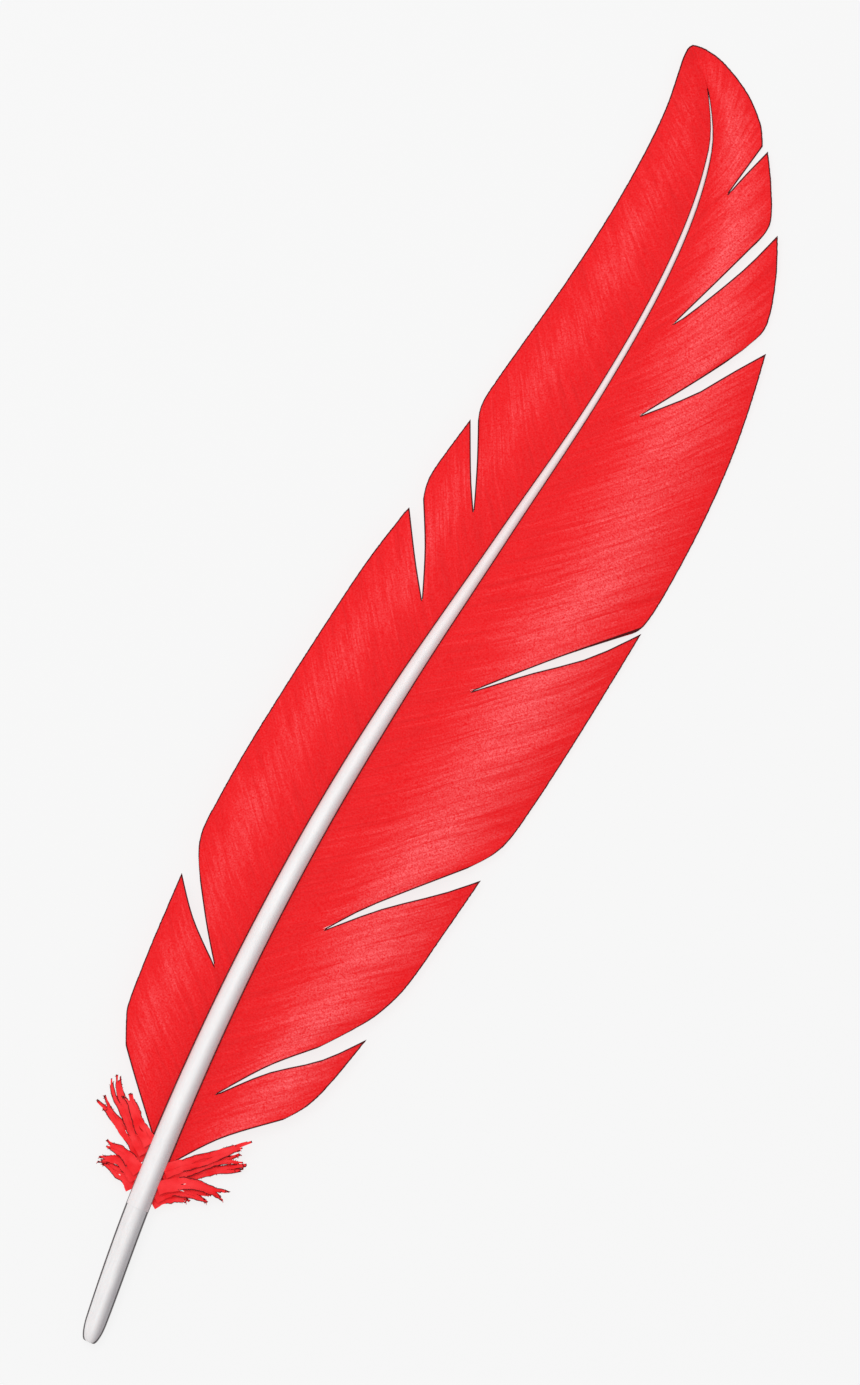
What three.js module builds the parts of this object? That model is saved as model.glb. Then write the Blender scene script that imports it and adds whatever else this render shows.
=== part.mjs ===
// A red-dyed wing feather, lying on its underside with the back of the vane up.
// A hollow quill runs into a tapering shaft with a foam core. Barbs grow from both sides of the
// shaft and zip into a vane, which has split into four groups on the left and seven on the right.
// Loose downy barbs stand where the vane begins.
// Millimetres. +Y runs from the butt of the quill to the tip, +X to the right vane, +Z up.
import * as THREE from "three";

// ---- Overall sizes ----
const FEATHER_LENGTH = 300;
const LEFT_REACH = 21; // widest distance from the shaft's middle to the left margin
const RIGHT_REACH = 37; // the same on the right
const ARCH_RISE = 6; // how far the shaft bows up off the surface it lies on

// ---- Shaft: calamus (bare quill) and rachis ----
const SHAFT_DIAMETER = 5.2;
const CALAMUS_LENGTH = 30;
const CALAMUS_WALL = 0.45;
const BUTT_FACE_DIAMETER = 2.8; // flat ring round the hole at the end of the quill
const BUTT_ROUNDING = 3; // length of the rounded end
const BUTT_THICKNESS = 1.6; // of the wall across the end
const UMBILICUS_DIAMETER = 1;
const QUILL_WAIST = 0.2; // how much slimmer the quill is at its butt
const QUILL_WAIST_LENGTH = 8;
const RACHIS_TIP_DIAMETER = 0.5;
const TIP_PAST_RACHIS = 7; // vane beyond the end of the shaft
const CORTEX_WALL = 0.35;
const RACHIS_DEPTH = 1.12; // depth of the rachis over its width
const GROOVE_DEPTH = 0.35; // groove along the underside, over the shaft's radius

// ---- Pulp caps: dry cups left inside the quill as the feather grew ----
const PULP_CAPS = 6;
const CAP_WALL = 0.3;
const CAP_HEIGHT = 2.6;
const FIRST_CAP = 6; // from the butt

// ---- Vane ----
const VANE_ROOT_THICKNESS = 0.7;
const VANE_EDGE_THICKNESS = 0.3;
const VANE_HUMP = 1.1; // the vane rises this far beside the shaft before it droops
const LEFT_DROOP = 3.4; // fall from the shaft to the left margin
const RIGHT_DROOP = 6.4;
const TIP_CURL = 0.9; // lift of each group's sharp outer corner

// ---- Down ----
const DOWN_WIDTH = 2.2;
const DOWN_THICKNESS = 0.5;
const DOWN_DROOP = 1.2;
const DOWN_LAYERS = 3; // neighbouring barbs grow from the shaft at different heights

// ---- Clearances between neighbouring pieces ----
const GAP = 0.3;
const CORE_GAP = 0.2; // round the pith and the pulp caps, inside the shaft

// ---- Mesh fineness ----
const ROUND_STEPS = 16;
const CORE_STEPS = 10;
const CALAMUS_STEPS = 6;
const SHAFT_STEPS = 28;
const SHAFT_STEP_CROWDING = 0.8; // under 1 puts the steps closer together towards the tip
const PITH_LEAST_RADIUS = 0.35; // the pith stops where the shaft is too slim to hold it
const BARB_STEPS = 7;
const ROOT_STEPS_PER_MM = 0.14;
const DOWN_STEPS = 7;
const DOWN_SIDES = 6;

const RACHIS_END = FEATHER_LENGTH - TIP_PAST_RACHIS;
const BUTT_HEIGHT = SHAFT_DIAMETER / 2;

// ---- Materials ----
const horn = new THREE.MeshStandardMaterial({ color: 0xe9e6e6, roughness: 0.42, metalness: 0 });
const pith = new THREE.MeshStandardMaterial({ color: 0xf6f1e6, roughness: 0.95, metalness: 0 });
const membrane = new THREE.MeshStandardMaterial({ color: 0xe5d9c3, roughness: 0.6, metalness: 0 });
const dyedVane = new THREE.MeshStandardMaterial({ color: 0xee2a2f, roughness: 0.62, metalness: 0 });
const dyedDown = new THREE.MeshStandardMaterial({ color: 0xf0363a, roughness: 0.85, metalness: 0 });

// ---- The shaft's line ----

// A smooth function through [x, y] points.
function through(points) {
  const slopes = points.map((_, i) => {
    const before = points[Math.max(i - 1, 0)];
    const after = points[Math.min(i + 1, points.length - 1)];
    return (after[1] - before[1]) / (after[0] - before[0]);
  });
  return (x) => {
    const last = points.length - 2;
    const next = points.findIndex((p) => p[0] >= x);
    const i = THREE.MathUtils.clamp(next < 0 ? last : next - 1, 0, last);
    const step = points[i + 1][0] - points[i][0];
    const k = (x - points[i][0]) / step;
    const start = (2 * k ** 3 - 3 * k * k + 1) * points[i][1] + (k ** 3 - 2 * k * k + k) * step * slopes[i];
    const end = (3 * k * k - 2 * k ** 3) * points[i + 1][1] + (k ** 3 - k * k) * step * slopes[i + 1];
    return start + end;
  };
}

// Sideways place of the shaft's middle: [percent of the feather's length, mm to the right].
const sidewaysAt = through([
  [0, 0],
  [11, -2.8],
  [25, -3.9],
  [38, -2.4],
  [50, 1.4],
  [63, 7.5],
  [75.5, 13.3],
  [86, 15.4],
  [93.7, 12.9],
  [97.7, 6.8],
  [100, 0.2],
]);
const sway = (y) => sidewaysAt((100 * y) / FEATHER_LENGTH);

// How thick the shaft still is: [percent of the feather's length, share]. It hardly thins as far as the
// middle, then quickly, and last of all slowly to its fine tip.
const taperAt = through([
  [0, 1],
  [12, 0.985],
  [20, 0.935],
  [30, 0.85],
  [42, 0.765],
  [47, 0.71],
  [57, 0.505],
  [66, 0.33],
  [72, 0.225],
  [78, 0.165],
  [88, 0.12],
  [94, 0.05],
  [97.7, 0],
  [100, 0],
]);

// Height of the shaft's middle above the surface, before the feather is set down on it.
function rise(y) {
  const share = y / FEATHER_LENGTH;
  return ARCH_RISE * Math.sin(Math.PI * share) + BUTT_HEIGHT * (1 - share);
}

function shaftRadius(y) {
  const taper = taperAt(THREE.MathUtils.clamp((100 * y) / FEATHER_LENGTH, 0, 100));
  const waist = 1 - QUILL_WAIST * Math.exp(-y / QUILL_WAIST_LENGTH);
  return (RACHIS_TIP_DIAMETER + (SHAFT_DIAMETER - RACHIS_TIP_DIAMETER) * taper * waist) / 2;
}

// How far the section has changed from the round quill to the deep, grooved rachis, 0 to 1.
const rachisShare = (y) => THREE.MathUtils.smoothstep(y, CALAMUS_LENGTH, 2 * CALAMUS_LENGTH);

// Moves every vertex of a geometry by a function of its place.
function reshape(geometry, move) {
  const at = geometry.attributes.position;
  const v = new THREE.Vector3();
  for (let i = 0; i < at.count; i++) {
    v.fromBufferAttribute(at, i);
    move(v);
    at.setXYZ(i, v.x, v.y, v.z);
  }
  geometry.computeVertexNormals();
  return geometry;
}

// Bends a straight turned piece, lying along Y, onto the shaft's line.
function layAlongShaft(v) {
  const across = v.x / shaftRadius(v.y);
  const grooveHere = Math.max(0, 1 - (across / 0.5) ** 2) * GROOVE_DEPTH * rachisShare(v.y);
  const below = Math.max(0, -v.z);
  v.z *= 1 + (RACHIS_DEPTH - 1) * rachisShare(v.y);
  v.z += grooveHere * below + rise(v.y);
  v.x += sway(v.y);
}

function stationsBetween(from, to, steps) {
  return Array.from({ length: steps + 1 }, (_, i) => from + ((to - from) * i) / steps);
}

const alongY = (radius, y) => new THREE.Vector2(radius, y);

function makeCalamus() {
  const face = BUTT_FACE_DIAMETER / 2;
  const roundedEnd = [0.12, 0.37, 0.8].map((share) => {
    const y = share * BUTT_ROUNDING;
    const rounding = Math.sqrt(1 - (1 - share) ** 2);
    return alongY(face + (shaftRadius(y) - face) * rounding, y);
  });
  const stations = stationsBetween(BUTT_ROUNDING + 1, CALAMUS_LENGTH, CALAMUS_STEPS);
  const outside = stations.map((y) => alongY(shaftRadius(y), y));
  const inside = [...stations].reverse().map((y) => alongY(shaftRadius(y) - CALAMUS_WALL, y));
  const hole = UMBILICUS_DIAMETER / 2;
  const profile = [
    alongY(hole, 0),
    alongY(face, 0),
    ...roundedEnd,
    ...outside,
    ...inside,
    alongY(hole, BUTT_THICKNESS),
    alongY(hole, 0),
  ];
  return reshape(new THREE.LatheGeometry(profile, ROUND_STEPS), layAlongShaft);
}

const rachisStations = stationsBetween(0, 1, SHAFT_STEPS).map((share) =>
  THREE.MathUtils.lerp(CALAMUS_LENGTH + GAP, RACHIS_END, share ** SHAFT_STEP_CROWDING),
);
const pithRadius = (y) => shaftRadius(y) - CORTEX_WALL - CORE_GAP;
const hollowStations = rachisStations.filter((y) => pithRadius(y) > PITH_LEAST_RADIUS);
const HOLLOW_END = hollowStations[hollowStations.length - 1];

function makeCortex() {
  const inside = [...hollowStations].reverse().map((y) => alongY(shaftRadius(y) - CORTEX_WALL, y));
  const outside = rachisStations.map((y) => alongY(shaftRadius(y), y));
  const profile = [alongY(0, HOLLOW_END + 2 * CORE_GAP), ...inside, ...outside, alongY(0, RACHIS_END)];
  return reshape(new THREE.LatheGeometry(profile, ROUND_STEPS), layAlongShaft);
}

function makePith() {
  const outside = hollowStations.map((y) => alongY(pithRadius(y), y));
  const profile = [alongY(0, hollowStations[0]), ...outside, alongY(0, HOLLOW_END)];
  return reshape(new THREE.LatheGeometry(profile, ROUND_STEPS), layAlongShaft);
}

// One cup, open towards the butt, which sits at its own station in the quill.
function makePulpCap(station) {
  const outer = shaftRadius(station) - CALAMUS_WALL - CORE_GAP;
  const inner = outer - CAP_WALL;
  const dome = (radius, height) => [
    alongY(radius, 0),
    alongY(radius * 0.94, height * 0.5),
    alongY(radius * 0.6, height * 0.88),
    alongY(0, height),
  ];
  const profile = [...dome(inner, CAP_HEIGHT - CAP_WALL).reverse(), ...dome(outer, CAP_HEIGHT)];
  return new THREE.LatheGeometry(profile, CORE_STEPS);
}

// ---- The vane's outline ----
// A place is [percent of the way from the bare quill to the tip, percent of that side's reach from
// the shaft's middle].
// Each side is cut by splits, listed from the quill to the tip. A split has the root of the barb
// beside it, the inner end where it opens, the lower group's edge out to its sharp corner, and the
// upper group's edge out to its rounded heel.
const RIGHT_SIDE = {
  sign: 1,
  reach: RIGHT_REACH,
  droop: RIGHT_DROOP,
  base: { root: 3.8, upper: [[7.5, 28.5], [10.9, 57]] },
  splits: [
    { root: 9.3, inner: [10.6, 17], lower: [[13.7, 38], [16.4, 63], [19.3, 81]], upper: [[14.2, 37], [17.1, 58]] },
    { root: 22.4, inner: [25.7, 32], lower: [[28.9, 54], [32.1, 81], [34.2, 96]], upper: [[28.9, 49], [34.6, 86]] },
    { root: 43.7, inner: [47.2, 35], lower: [[50.2, 56], [53.4, 80], [56.8, 97]], upper: [[52, 63], [56, 88]] },
    { root: 68, inner: [72.1, 27], lower: [[75.4, 47], [77.9, 58], [80.6, 71]], upper: [[75.8, 42], [78.6, 53]] },
    { root: 76, inner: [79.7, 17], lower: [[81.2, 23], [85.8, 39], [89.3, 50]], upper: [[84, 28], [87.4, 38]] },
    { root: 86.9, inner: [90.6, 16], lower: [[92.3, 22], [94.9, 35]], upper: [[91.7, 19], [95.1, 32]] },
  ],
  margins: [
    [[12.8, 67], [15.4, 74]],
    [[19.8, 73], [21.6, 81], [24.4, 88], [29.7, 93]],
    [[37.2, 97], [41.2, 100], [48.6, 100]],
    [[57.7, 96], [64.1, 93], [70.6, 86], [75.6, 79]],
    [[80.6, 60], [82.7, 64], [86.2, 58]],
    [[89.8, 44], [92.6, 39]],
    [[96.7, 32], [98.4, 27.5], [99.7, 19], [100.1, 9]],
  ],
};
const LEFT_SIDE = {
  sign: -1,
  reach: LEFT_REACH,
  droop: LEFT_DROOP,
  base: { root: 5.4, upper: [[9.2, 53.5], [11, 73]] },
  splits: [
    { root: 18, inner: [19.6, 27], lower: [[22.2, 66], [25, 97]], upper: [[22.2, 52], [25, 77]] },
    { root: 49.8, inner: [52, 32], lower: [[54.6, 60], [58.1, 95]], upper: [[55.7, 59], [59.1, 88]] },
    { root: 56.7, inner: [59.9, 39], lower: [[62.3, 61], [66.3, 94]], upper: [[63.3, 63], [66.3, 86]] },
  ],
  margins: [
    [[12.8, 83], [14.2, 88], [18.6, 92]],
    [[28, 97], [31.8, 100], [38.6, 100], [51.1, 100], [56.8, 97]],
    [[60.4, 94], [62, 96]],
    [[67.7, 93], [70.1, 94], [80, 84], [87.6, 72], [94, 54], [98.9, 18]],
  ],
};
const VANE_TIP = [100, 0];

// How far along the feather a percentage of the vane lies.
const alongVane = (percent) => THREE.MathUtils.lerp(CALAMUS_LENGTH, FEATHER_LENGTH, percent / 100);

// Where a place on one side lies in plan, moved along the feather by shift.
function placeOn(side, [lengthPercent, reachPercent], shift = 0) {
  const y = alongVane(lengthPercent);
  const x = sway(y) + (side.sign * side.reach * reachPercent) / 100;
  return new THREE.Vector2(x, y + shift);
}

// Where a barb leaves the side of the shaft.
function rootOn(side, y) {
  return new THREE.Vector2(sway(y) + side.sign * (shaftRadius(y) + GAP), y);
}

// One long edge of a group: straight from the shaft to the split's inner end, then a spline.
function groupEdge(side, rootY, inner, outer, shift) {
  const root = rootOn(side, rootY + shift);
  const path = new THREE.CurvePath();
  const bends = outer.map((place) => placeOn(side, place, shift));
  if (inner) {
    const opening = placeOn(side, inner, shift);
    path.add(new THREE.LineCurve(root, opening));
    path.add(new THREE.SplineCurve([opening, ...bends]));
  } else {
    path.add(new THREE.SplineCurve([root, ...bends]));
  }
  return path;
}

// The groups of one side, each with its four edges. Neighbours stay GAP apart along the feather.
function groupsOf(side) {
  const tip = { inner: null, lower: [VANE_TIP] };
  const starts = [{ ...side.base, inner: null }, ...side.splits];
  const ends = [...side.splits, tip];
  return starts.map((start, i) => {
    const end = ends[i];
    const rootFrom = alongVane(start.root);
    const rootTo = end === tip ? RACHIS_END : alongVane(end.root);
    const lowEdge = groupEdge(side, rootFrom, start.inner, start.upper, GAP);
    const highEdge = groupEdge(side, rootTo, end.inner, end.lower, -GAP);
    const heel = lowEdge.getPoint(1);
    const corner = highEdge.getPoint(1);
    if (end === tip) {
      corner.x += side.sign * GAP;
      highEdge.curves[0].points.at(-1).x += side.sign * GAP;
    }
    const margin = new THREE.SplineCurve([heel, ...side.margins[i].map((p) => placeOn(side, p)), corner]);
    const rootAt = (a) => rootOn(side, THREE.MathUtils.lerp(rootFrom + GAP, rootTo - GAP, a));
    return { side, rootFrom, rootTo, rootAt, lowEdge, highEdge, margin };
  });
}

// A place in a group's plan: a runs from its low edge to its high edge, b from the shaft to the margin.
function placeInGroup(group, a, b) {
  const corners = [
    [group.rootAt(0), (1 - a) * (1 - b)],
    [group.rootAt(1), a * (1 - b)],
    [group.lowEdge.getPoint(1), (1 - a) * b],
    [group.highEdge.getPoint(1), a * b],
  ];
  const place = new THREE.Vector2()
    .addScaledVector(group.rootAt(a), 1 - b)
    .addScaledVector(group.margin.getPointAt(a), b)
    .addScaledVector(group.lowEdge.getPointAt(b), 1 - a)
    .addScaledVector(group.highEdge.getPointAt(b), a);
  for (const [corner, weight] of corners) place.addScaledVector(corner, -weight);
  return place;
}

// Height of the vane's middle over a place in plan: a hump beside the shaft, then a droop.
function vaneHeight(side, x, y) {
  const shaftY = Math.min(y, FEATHER_LENGTH);
  const out = (Math.abs(x - sway(shaftY)) - shaftRadius(shaftY)) / side.reach;
  const share = THREE.MathUtils.clamp(out, 0, 1);
  return rise(shaftY) + VANE_HUMP * Math.sin(Math.PI * share) - side.droop * share ** 2;
}

function makeVaneGroup(group) {
  const { side } = group;
  const rootSteps = Math.max(4, Math.round((group.rootTo - group.rootFrom) * ROOT_STEPS_PER_MM));
  const slab = new THREE.BoxGeometry(1, 1, 1, BARB_STEPS, rootSteps, 1);
  return reshape(slab, (v) => {
    const a = v.y + 0.5;
    const b = 0.5 + side.sign * v.x;
    const place = placeInGroup(group, a, b);
    const thickness = THREE.MathUtils.lerp(VANE_ROOT_THICKNESS, VANE_EDGE_THICKNESS, b);
    const curl = TIP_CURL * a ** 4 * b ** 3;
    v.z = vaneHeight(side, place.x, place.y) + curl + v.z * thickness;
    v.x = place.x;
    v.y = place.y;
  });
}

// ---- Down ----
// Each barb has its root, in percent of the way from the bare quill to the tip, and its width as a share.
// Its tip and the point that bends it are [mm out from the shaft, mm on towards the feather's tip],
// both from its root.
const LEFT_DOWN = [
  { root: 1.1, tip: [7.9, 1.8], bend: [3.4, 3], width: 0.8 },
  { root: 1.9, tip: [9.4, 1], bend: [4.2, 3.1], width: 0.8 },
  { root: 2.6, tip: [8.9, 2.5], bend: [4.5, 2.4], width: 0.9 },
  { root: 3.4, tip: [13.8, 8.5], bend: [5.6, 4.1], width: 0.9 },
  { root: 4.2, tip: [13.4, 11.8], bend: [8, 5.4], width: 1.2 },
  { root: 4.9, tip: [9.4, 7.6], bend: [4.5, 3.2], width: 0.9 },
];
const RIGHT_DOWN = [
  { root: 0.7, tip: [7.2, 3.4], bend: [3.4, 5], width: 0.9 },
  { root: 1.3, tip: [11.2, 3.8], bend: [4.6, 5.6], width: 0.9 },
  { root: 2, tip: [14, 4.4], bend: [6.5, 5.7], width: 0.8 },
  { root: 2.5, tip: [15.1, 10.6], bend: [6.8, 5], width: 0.8 },
  { root: 3, tip: [13.4, 11], bend: [6.3, 5.3], width: 0.9 },
  { root: 3.4, tip: [14.7, 13.3], bend: [4.6, 4.6], width: 0.9 },
];

// A soft blade on a curved line out from the shaft, widest a third of the way along.
function makeDownBarb(side, barb, index) {
  const rootY = alongVane(barb.root);
  const layer = (index % DOWN_LAYERS) - (DOWN_LAYERS - 1) / 2;
  const rootHeight = rise(rootY) + layer * (DOWN_THICKNESS + GAP);
  const root = rootOn(side, rootY);
  const fromRoot = ([out, on]) => new THREE.Vector2(root.x + side.sign * out, root.y + on);
  const line = new THREE.QuadraticBezierCurve(root, fromRoot(barb.bend), fromRoot(barb.tip));
  const blade = new THREE.CylinderGeometry(1, 1, 1, DOWN_SIDES, DOWN_STEPS);
  return reshape(blade, (v) => {
    const b = v.y + 0.5;
    const middle = line.getPoint(b);
    const forward = line.getTangent(b);
    const shape = 0.25 + 0.75 * Math.sin(Math.PI * (0.12 + 0.8 * b) ** 0.8);
    const across = (v.x * barb.width * DOWN_WIDTH * shape) / 2;
    const up = (v.z * DOWN_THICKNESS * shape) / 2;
    v.x = middle.x + forward.y * across;
    v.y = middle.y - forward.x * across;
    v.z = rootHeight + up - DOWN_DROOP * b ** 2;
  });
}

// ---- Assembly ----
const feather = new THREE.Group();

function add(name, geometry, material) {
  const mesh = new THREE.Mesh(geometry, material);
  mesh.name = name;
  feather.add(mesh);
  return mesh;
}

add("calamus", makeCalamus(), horn);
add("rachis_cortex", makeCortex(), horn);
add("rachis_pith", makePith(), pith);

const capPitch = (CALAMUS_LENGTH - FIRST_CAP - CAP_HEIGHT) / (PULP_CAPS - 1);
for (let i = 0; i < PULP_CAPS; i++) {
  const station = FIRST_CAP + i * capPitch;
  const cap = add(`pulp_cap_${i + 1}`, makePulpCap(station), membrane);
  cap.position.set(sway(station), station, rise(station));
}

for (const [word, side, down] of [
  ["left", LEFT_SIDE, LEFT_DOWN],
  ["right", RIGHT_SIDE, RIGHT_DOWN],
]) {
  groupsOf(side).forEach((group, i) => add(`vane_${word}_${i + 1}`, makeVaneGroup(group), dyedVane));
  down.forEach((barb, i) => add(`down_${word}_${i + 1}`, makeDownBarb(side, barb, i), dyedDown));
}

// The origin is under the middle of the feather, on the surface that it lies on.
const box = new THREE.Box3().setFromObject(feather, true);
const middle = box.getCenter(new THREE.Vector3());
feather.position.set(-middle.x, -middle.y, -box.min.z);

export default feather;
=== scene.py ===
"""A red-dyed wing feather, lying on its underside on a pale floor.

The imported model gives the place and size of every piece. This script gives them their finish: a
quill and shaft of pale horn, vanes of separate barbs laid over each other like shingles, and loose
down. Distances are in metres. +Y runs from the butt of the quill to the tip, +X to the wide right
vane, +Z up.
"""

import functools
import math

import bpy
import numpy as np
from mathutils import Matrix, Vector


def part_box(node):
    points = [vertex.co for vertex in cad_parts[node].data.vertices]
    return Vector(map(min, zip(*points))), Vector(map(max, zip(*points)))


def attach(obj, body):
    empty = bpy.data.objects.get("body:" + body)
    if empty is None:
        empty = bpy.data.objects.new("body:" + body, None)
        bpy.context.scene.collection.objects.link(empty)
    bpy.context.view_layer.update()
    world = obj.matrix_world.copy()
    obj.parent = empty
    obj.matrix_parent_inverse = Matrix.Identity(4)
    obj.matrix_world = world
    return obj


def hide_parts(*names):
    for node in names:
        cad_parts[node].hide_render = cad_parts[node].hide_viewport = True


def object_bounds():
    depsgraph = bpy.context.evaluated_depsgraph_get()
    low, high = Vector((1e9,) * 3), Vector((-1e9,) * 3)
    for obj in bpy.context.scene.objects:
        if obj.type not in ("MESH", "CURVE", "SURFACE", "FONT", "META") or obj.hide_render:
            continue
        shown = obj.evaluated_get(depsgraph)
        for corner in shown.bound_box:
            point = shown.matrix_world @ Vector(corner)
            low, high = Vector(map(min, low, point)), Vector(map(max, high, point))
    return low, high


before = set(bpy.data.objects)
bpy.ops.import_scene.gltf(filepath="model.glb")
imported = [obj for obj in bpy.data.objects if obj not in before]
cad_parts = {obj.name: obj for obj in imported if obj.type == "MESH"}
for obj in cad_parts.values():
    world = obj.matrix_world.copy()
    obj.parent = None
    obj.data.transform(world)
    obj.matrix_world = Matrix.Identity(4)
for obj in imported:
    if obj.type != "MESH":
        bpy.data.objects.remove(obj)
CAD_LOW, CAD_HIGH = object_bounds()
MM = 0.001

bl_info = {
    "name": "Wing feather",
    "version": (1, 0, 0),
    "blender": (4, 5, 0),
    "location": "3D View > Sidebar > Feather",
    "description": "Builds a dyed wing feather, barb by barb, round its packed model",
    "category": "Object",
}

CLEARANCE = 0.3 * MM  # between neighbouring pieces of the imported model
QUILL_LOW, QUILL_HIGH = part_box("calamus")


def butt_centre():
    """The middle of the flat ring at the end of the quill."""
    ring = [v.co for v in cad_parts["calamus"].data.vertices if v.co.y < CAD_LOW.y + 0.01 * MM]
    xs = [co.x for co in ring]
    zs = [co.z for co in ring]
    return (min(xs) + max(xs)) / 2, CAD_LOW.y, (min(zs) + max(zs)) / 2


BUTT_X, BUTT_Y, BUTT_Z = butt_centre()


def linear(hex_colour):
    """An sRGB colour such as "#ff8000" as the linear red, green and blue that shaders take."""
    channels = [int(hex_colour[i : i + 2], 16) / 255 for i in (1, 3, 5)]
    return tuple(c / 12.92 if c <= 0.04045 else ((c + 0.055) / 1.055) ** 2.4 for c in channels)


# ---- What a user may change ----


def size(name, description, default):
    return bpy.props.FloatProperty(
        name=name, description=description, default=default, min=0.0, unit="LENGTH", precision=5
    )


def number(name, description, default):
    return bpy.props.FloatProperty(name=name, description=description, default=default)


def count(name, description, default):
    return bpy.props.IntProperty(name=name, description=description, default=default, min=1)


def colour(name, description, default):
    return bpy.props.FloatVectorProperty(
        name=name, description=description, default=linear(default), subtype="COLOR", size=3,
        min=0.0, max=1.0,
    )


class FeatherShape(bpy.types.PropertyGroup):
    """Sizes of the whole feather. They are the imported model's."""

    length: size("Length", "From the butt to the tip", CAD_HIGH.y - CAD_LOW.y + CLEARANCE)
    quill_length: size("Bare quill", "Length of the bare quill", QUILL_HIGH.y - QUILL_LOW.y)
    shaft_diameter: size("Quill diameter", "Thickness of the bare quill", 5.2 * MM)
    tip_diameter: size("Tip diameter", "Thickness of the shaft at its tip", 0.5 * MM)
    tip_past_shaft: size("Vane past the shaft", "Vane beyond the shaft's own tip", 7 * MM)
    left_reach: size("Left reach", "Widest distance from the shaft to the left margin", 21 * MM)
    right_reach: size("Right reach", "Widest distance from the shaft to the right margin", 37 * MM)
    arch_rise: size("Arch", "How far the shaft bows up", 6 * MM)
    hump: size("Hump", "How far the vane rises beside the shaft", 1.1 * MM)
    left_droop: size("Left droop", "Fall from the shaft to the left margin", 3.4 * MM)
    right_droop: size("Right droop", "Fall from the shaft to the right margin", 6.4 * MM)
    tip_curl: size("Corner curl", "Lift of each group's sharp outer corner", 0.9 * MM)


class FeatherDetail(bpy.types.PropertyGroup):
    """Sizes of walls, barbs and down."""

    quill_wall: size("Quill wall", "Horn wall of the bare quill", 0.45 * MM)
    shaft_wall: size("Shaft wall", "Horn wall round the pith", 0.35 * MM)
    barb_pitch: size("Barb pitch", "Distance between barbs along the shaft", 0.45 * MM)
    barb_overlap: number("Barb overlap", "Width of a barb's blade over its pitch", 1.7)
    barb_back: size("Barb back", "Rise of a barb's back over its edges", 0.05 * MM)
    barb_depth: size("Barb depth", "Depth of a barb's keel where it leaves the shaft", 0.4 * MM)
    strands: count("Strands", "Strands in one wisp of down", 9)
    barbule_length: size("Barbule", "Length of the fluff on a strand of down", 0.5 * MM)
    barbule_pitch: size("Barbule pitch", "Distance between barbules on a strand", 0.45 * MM)


class FeatherColours(bpy.types.PropertyGroup):
    """Colours of the dye and the horn, and of the painted light and shade over them."""

    # Partly chance darker streaks, partly painted shade beside the shaft and at the margins.
    dark_streaks_and_shade: colour("Dark dye", "Dye in the darkest streaks", "#bc141a")
    # The ground dye. It shows most beside the shaft and at the margins, where the painted light is
    # least.
    deep: colour("Deep dye", "Dye beside the shaft and at the margins", "#e90c14")
    # Painted light: the lit colour of the dye over the middle of the barbs.
    bright: colour("Bright dye", "Faded dye over the middle of the barbs", "#ff676b")
    # Painted edge shade along the free edges, and a painted contact shadow beside the shaft.
    outline: colour("Outline", "Dye that gathered at the very edge", "#4a1416")
    down: colour("Down", "Dye on the down", "#ff4a4e")
    horn: colour("Horn", "Pale horn", "#f1efef")
    horn_shade: colour("Horn shade", "Greyer horn", "#c9c4c6")
    # Painted shade on the right flank of the horn.
    horn_flank_shade: colour("Horn flank", "Horn along the right flank", "#a8a4a7")
    # Painted edge shade: the dark line along each side of the horn.
    horn_edge_shade: colour("Horn line", "Dirt and dye in the line along each side of the horn", "#393335")
    # Painted shade on the underside of the horn.
    horn_under_shade: colour("Horn underside", "Horn on the underside", "#b8b1b3")
    horn_tint: colour("Horn tint", "Horn that took up a little dye", "#e3a9ab")
    pith: colour("Pith", "Dry foam in the shaft", "#efe8d8")
    membrane: colour("Membrane", "Dry caps in the quill", "#d8cbb0")
    floor: colour("Floor", "Pale floor", "#f6f6f6")


class FeatherStage(bpy.types.PropertyGroup):
    """Camera, light and floor."""

    view_height: size("View height", "How much the camera sees, top to bottom", 289.6 * MM)
    view_right: size("View right", "Middle of the view, to the right of the butt", 7.49 * MM)
    view_on: size("View on", "Middle of the view, on from the butt", 153.5 * MM)
    camera_height: size("Camera height", "Height of the camera above the floor", 1.6)
    turn: bpy.props.FloatProperty(
        name="Turn", description="How far the feather leans to the right in the view",
        default=math.radians(24.94), unit="ROTATION",
    )
    daylight: number("Daylight", "Strength of the even light", 0.605)
    floor_glow: number("Floor glow", "Share of the floor's light that comes through it", 0.88)
    key_power: bpy.props.FloatProperty(
        name="Key light", description="Power of the large soft light", default=9.2, unit="POWER"
    )
    floor_size: size("Floor size", "Side of the floor", 12.0)


# ---- The shaft's line ----


def through(points):
    """A smooth function through (x, y) points, for numbers and arrays."""
    xs, ys = np.array(points, float).T
    rises, runs = np.diff(ys), np.diff(xs)
    slopes = np.concatenate(
        [rises[:1] / runs[:1], (ys[2:] - ys[:-2]) / (xs[2:] - xs[:-2]), rises[-1:] / runs[-1:]]
    )

    def value(x):
        i = np.clip(np.searchsorted(xs, x) - 1, 0, len(xs) - 2)
        step = xs[i + 1] - xs[i]
        k = (x - xs[i]) / step
        start = (2 * k**3 - 3 * k**2 + 1) * ys[i] + (k**3 - 2 * k**2 + k) * step * slopes[i]
        end = (3 * k**2 - 2 * k**3) * ys[i + 1] + (k**3 - k**2) * step * slopes[i + 1]
        return start + end

    return value


# Sideways place of the shaft's middle: (percent of the feather's length, mm to the right).
sideways_at = through([
    (0, 0),
    (11, -2.8),
    (25, -3.9),
    (38, -2.4),
    (50, 1.4),
    (63, 7.5),
    (75.5, 13.3),
    (86, 15.4),
    (93.7, 12.9),
    (97.7, 6.8),
    (100, 0.2),
])

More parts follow.
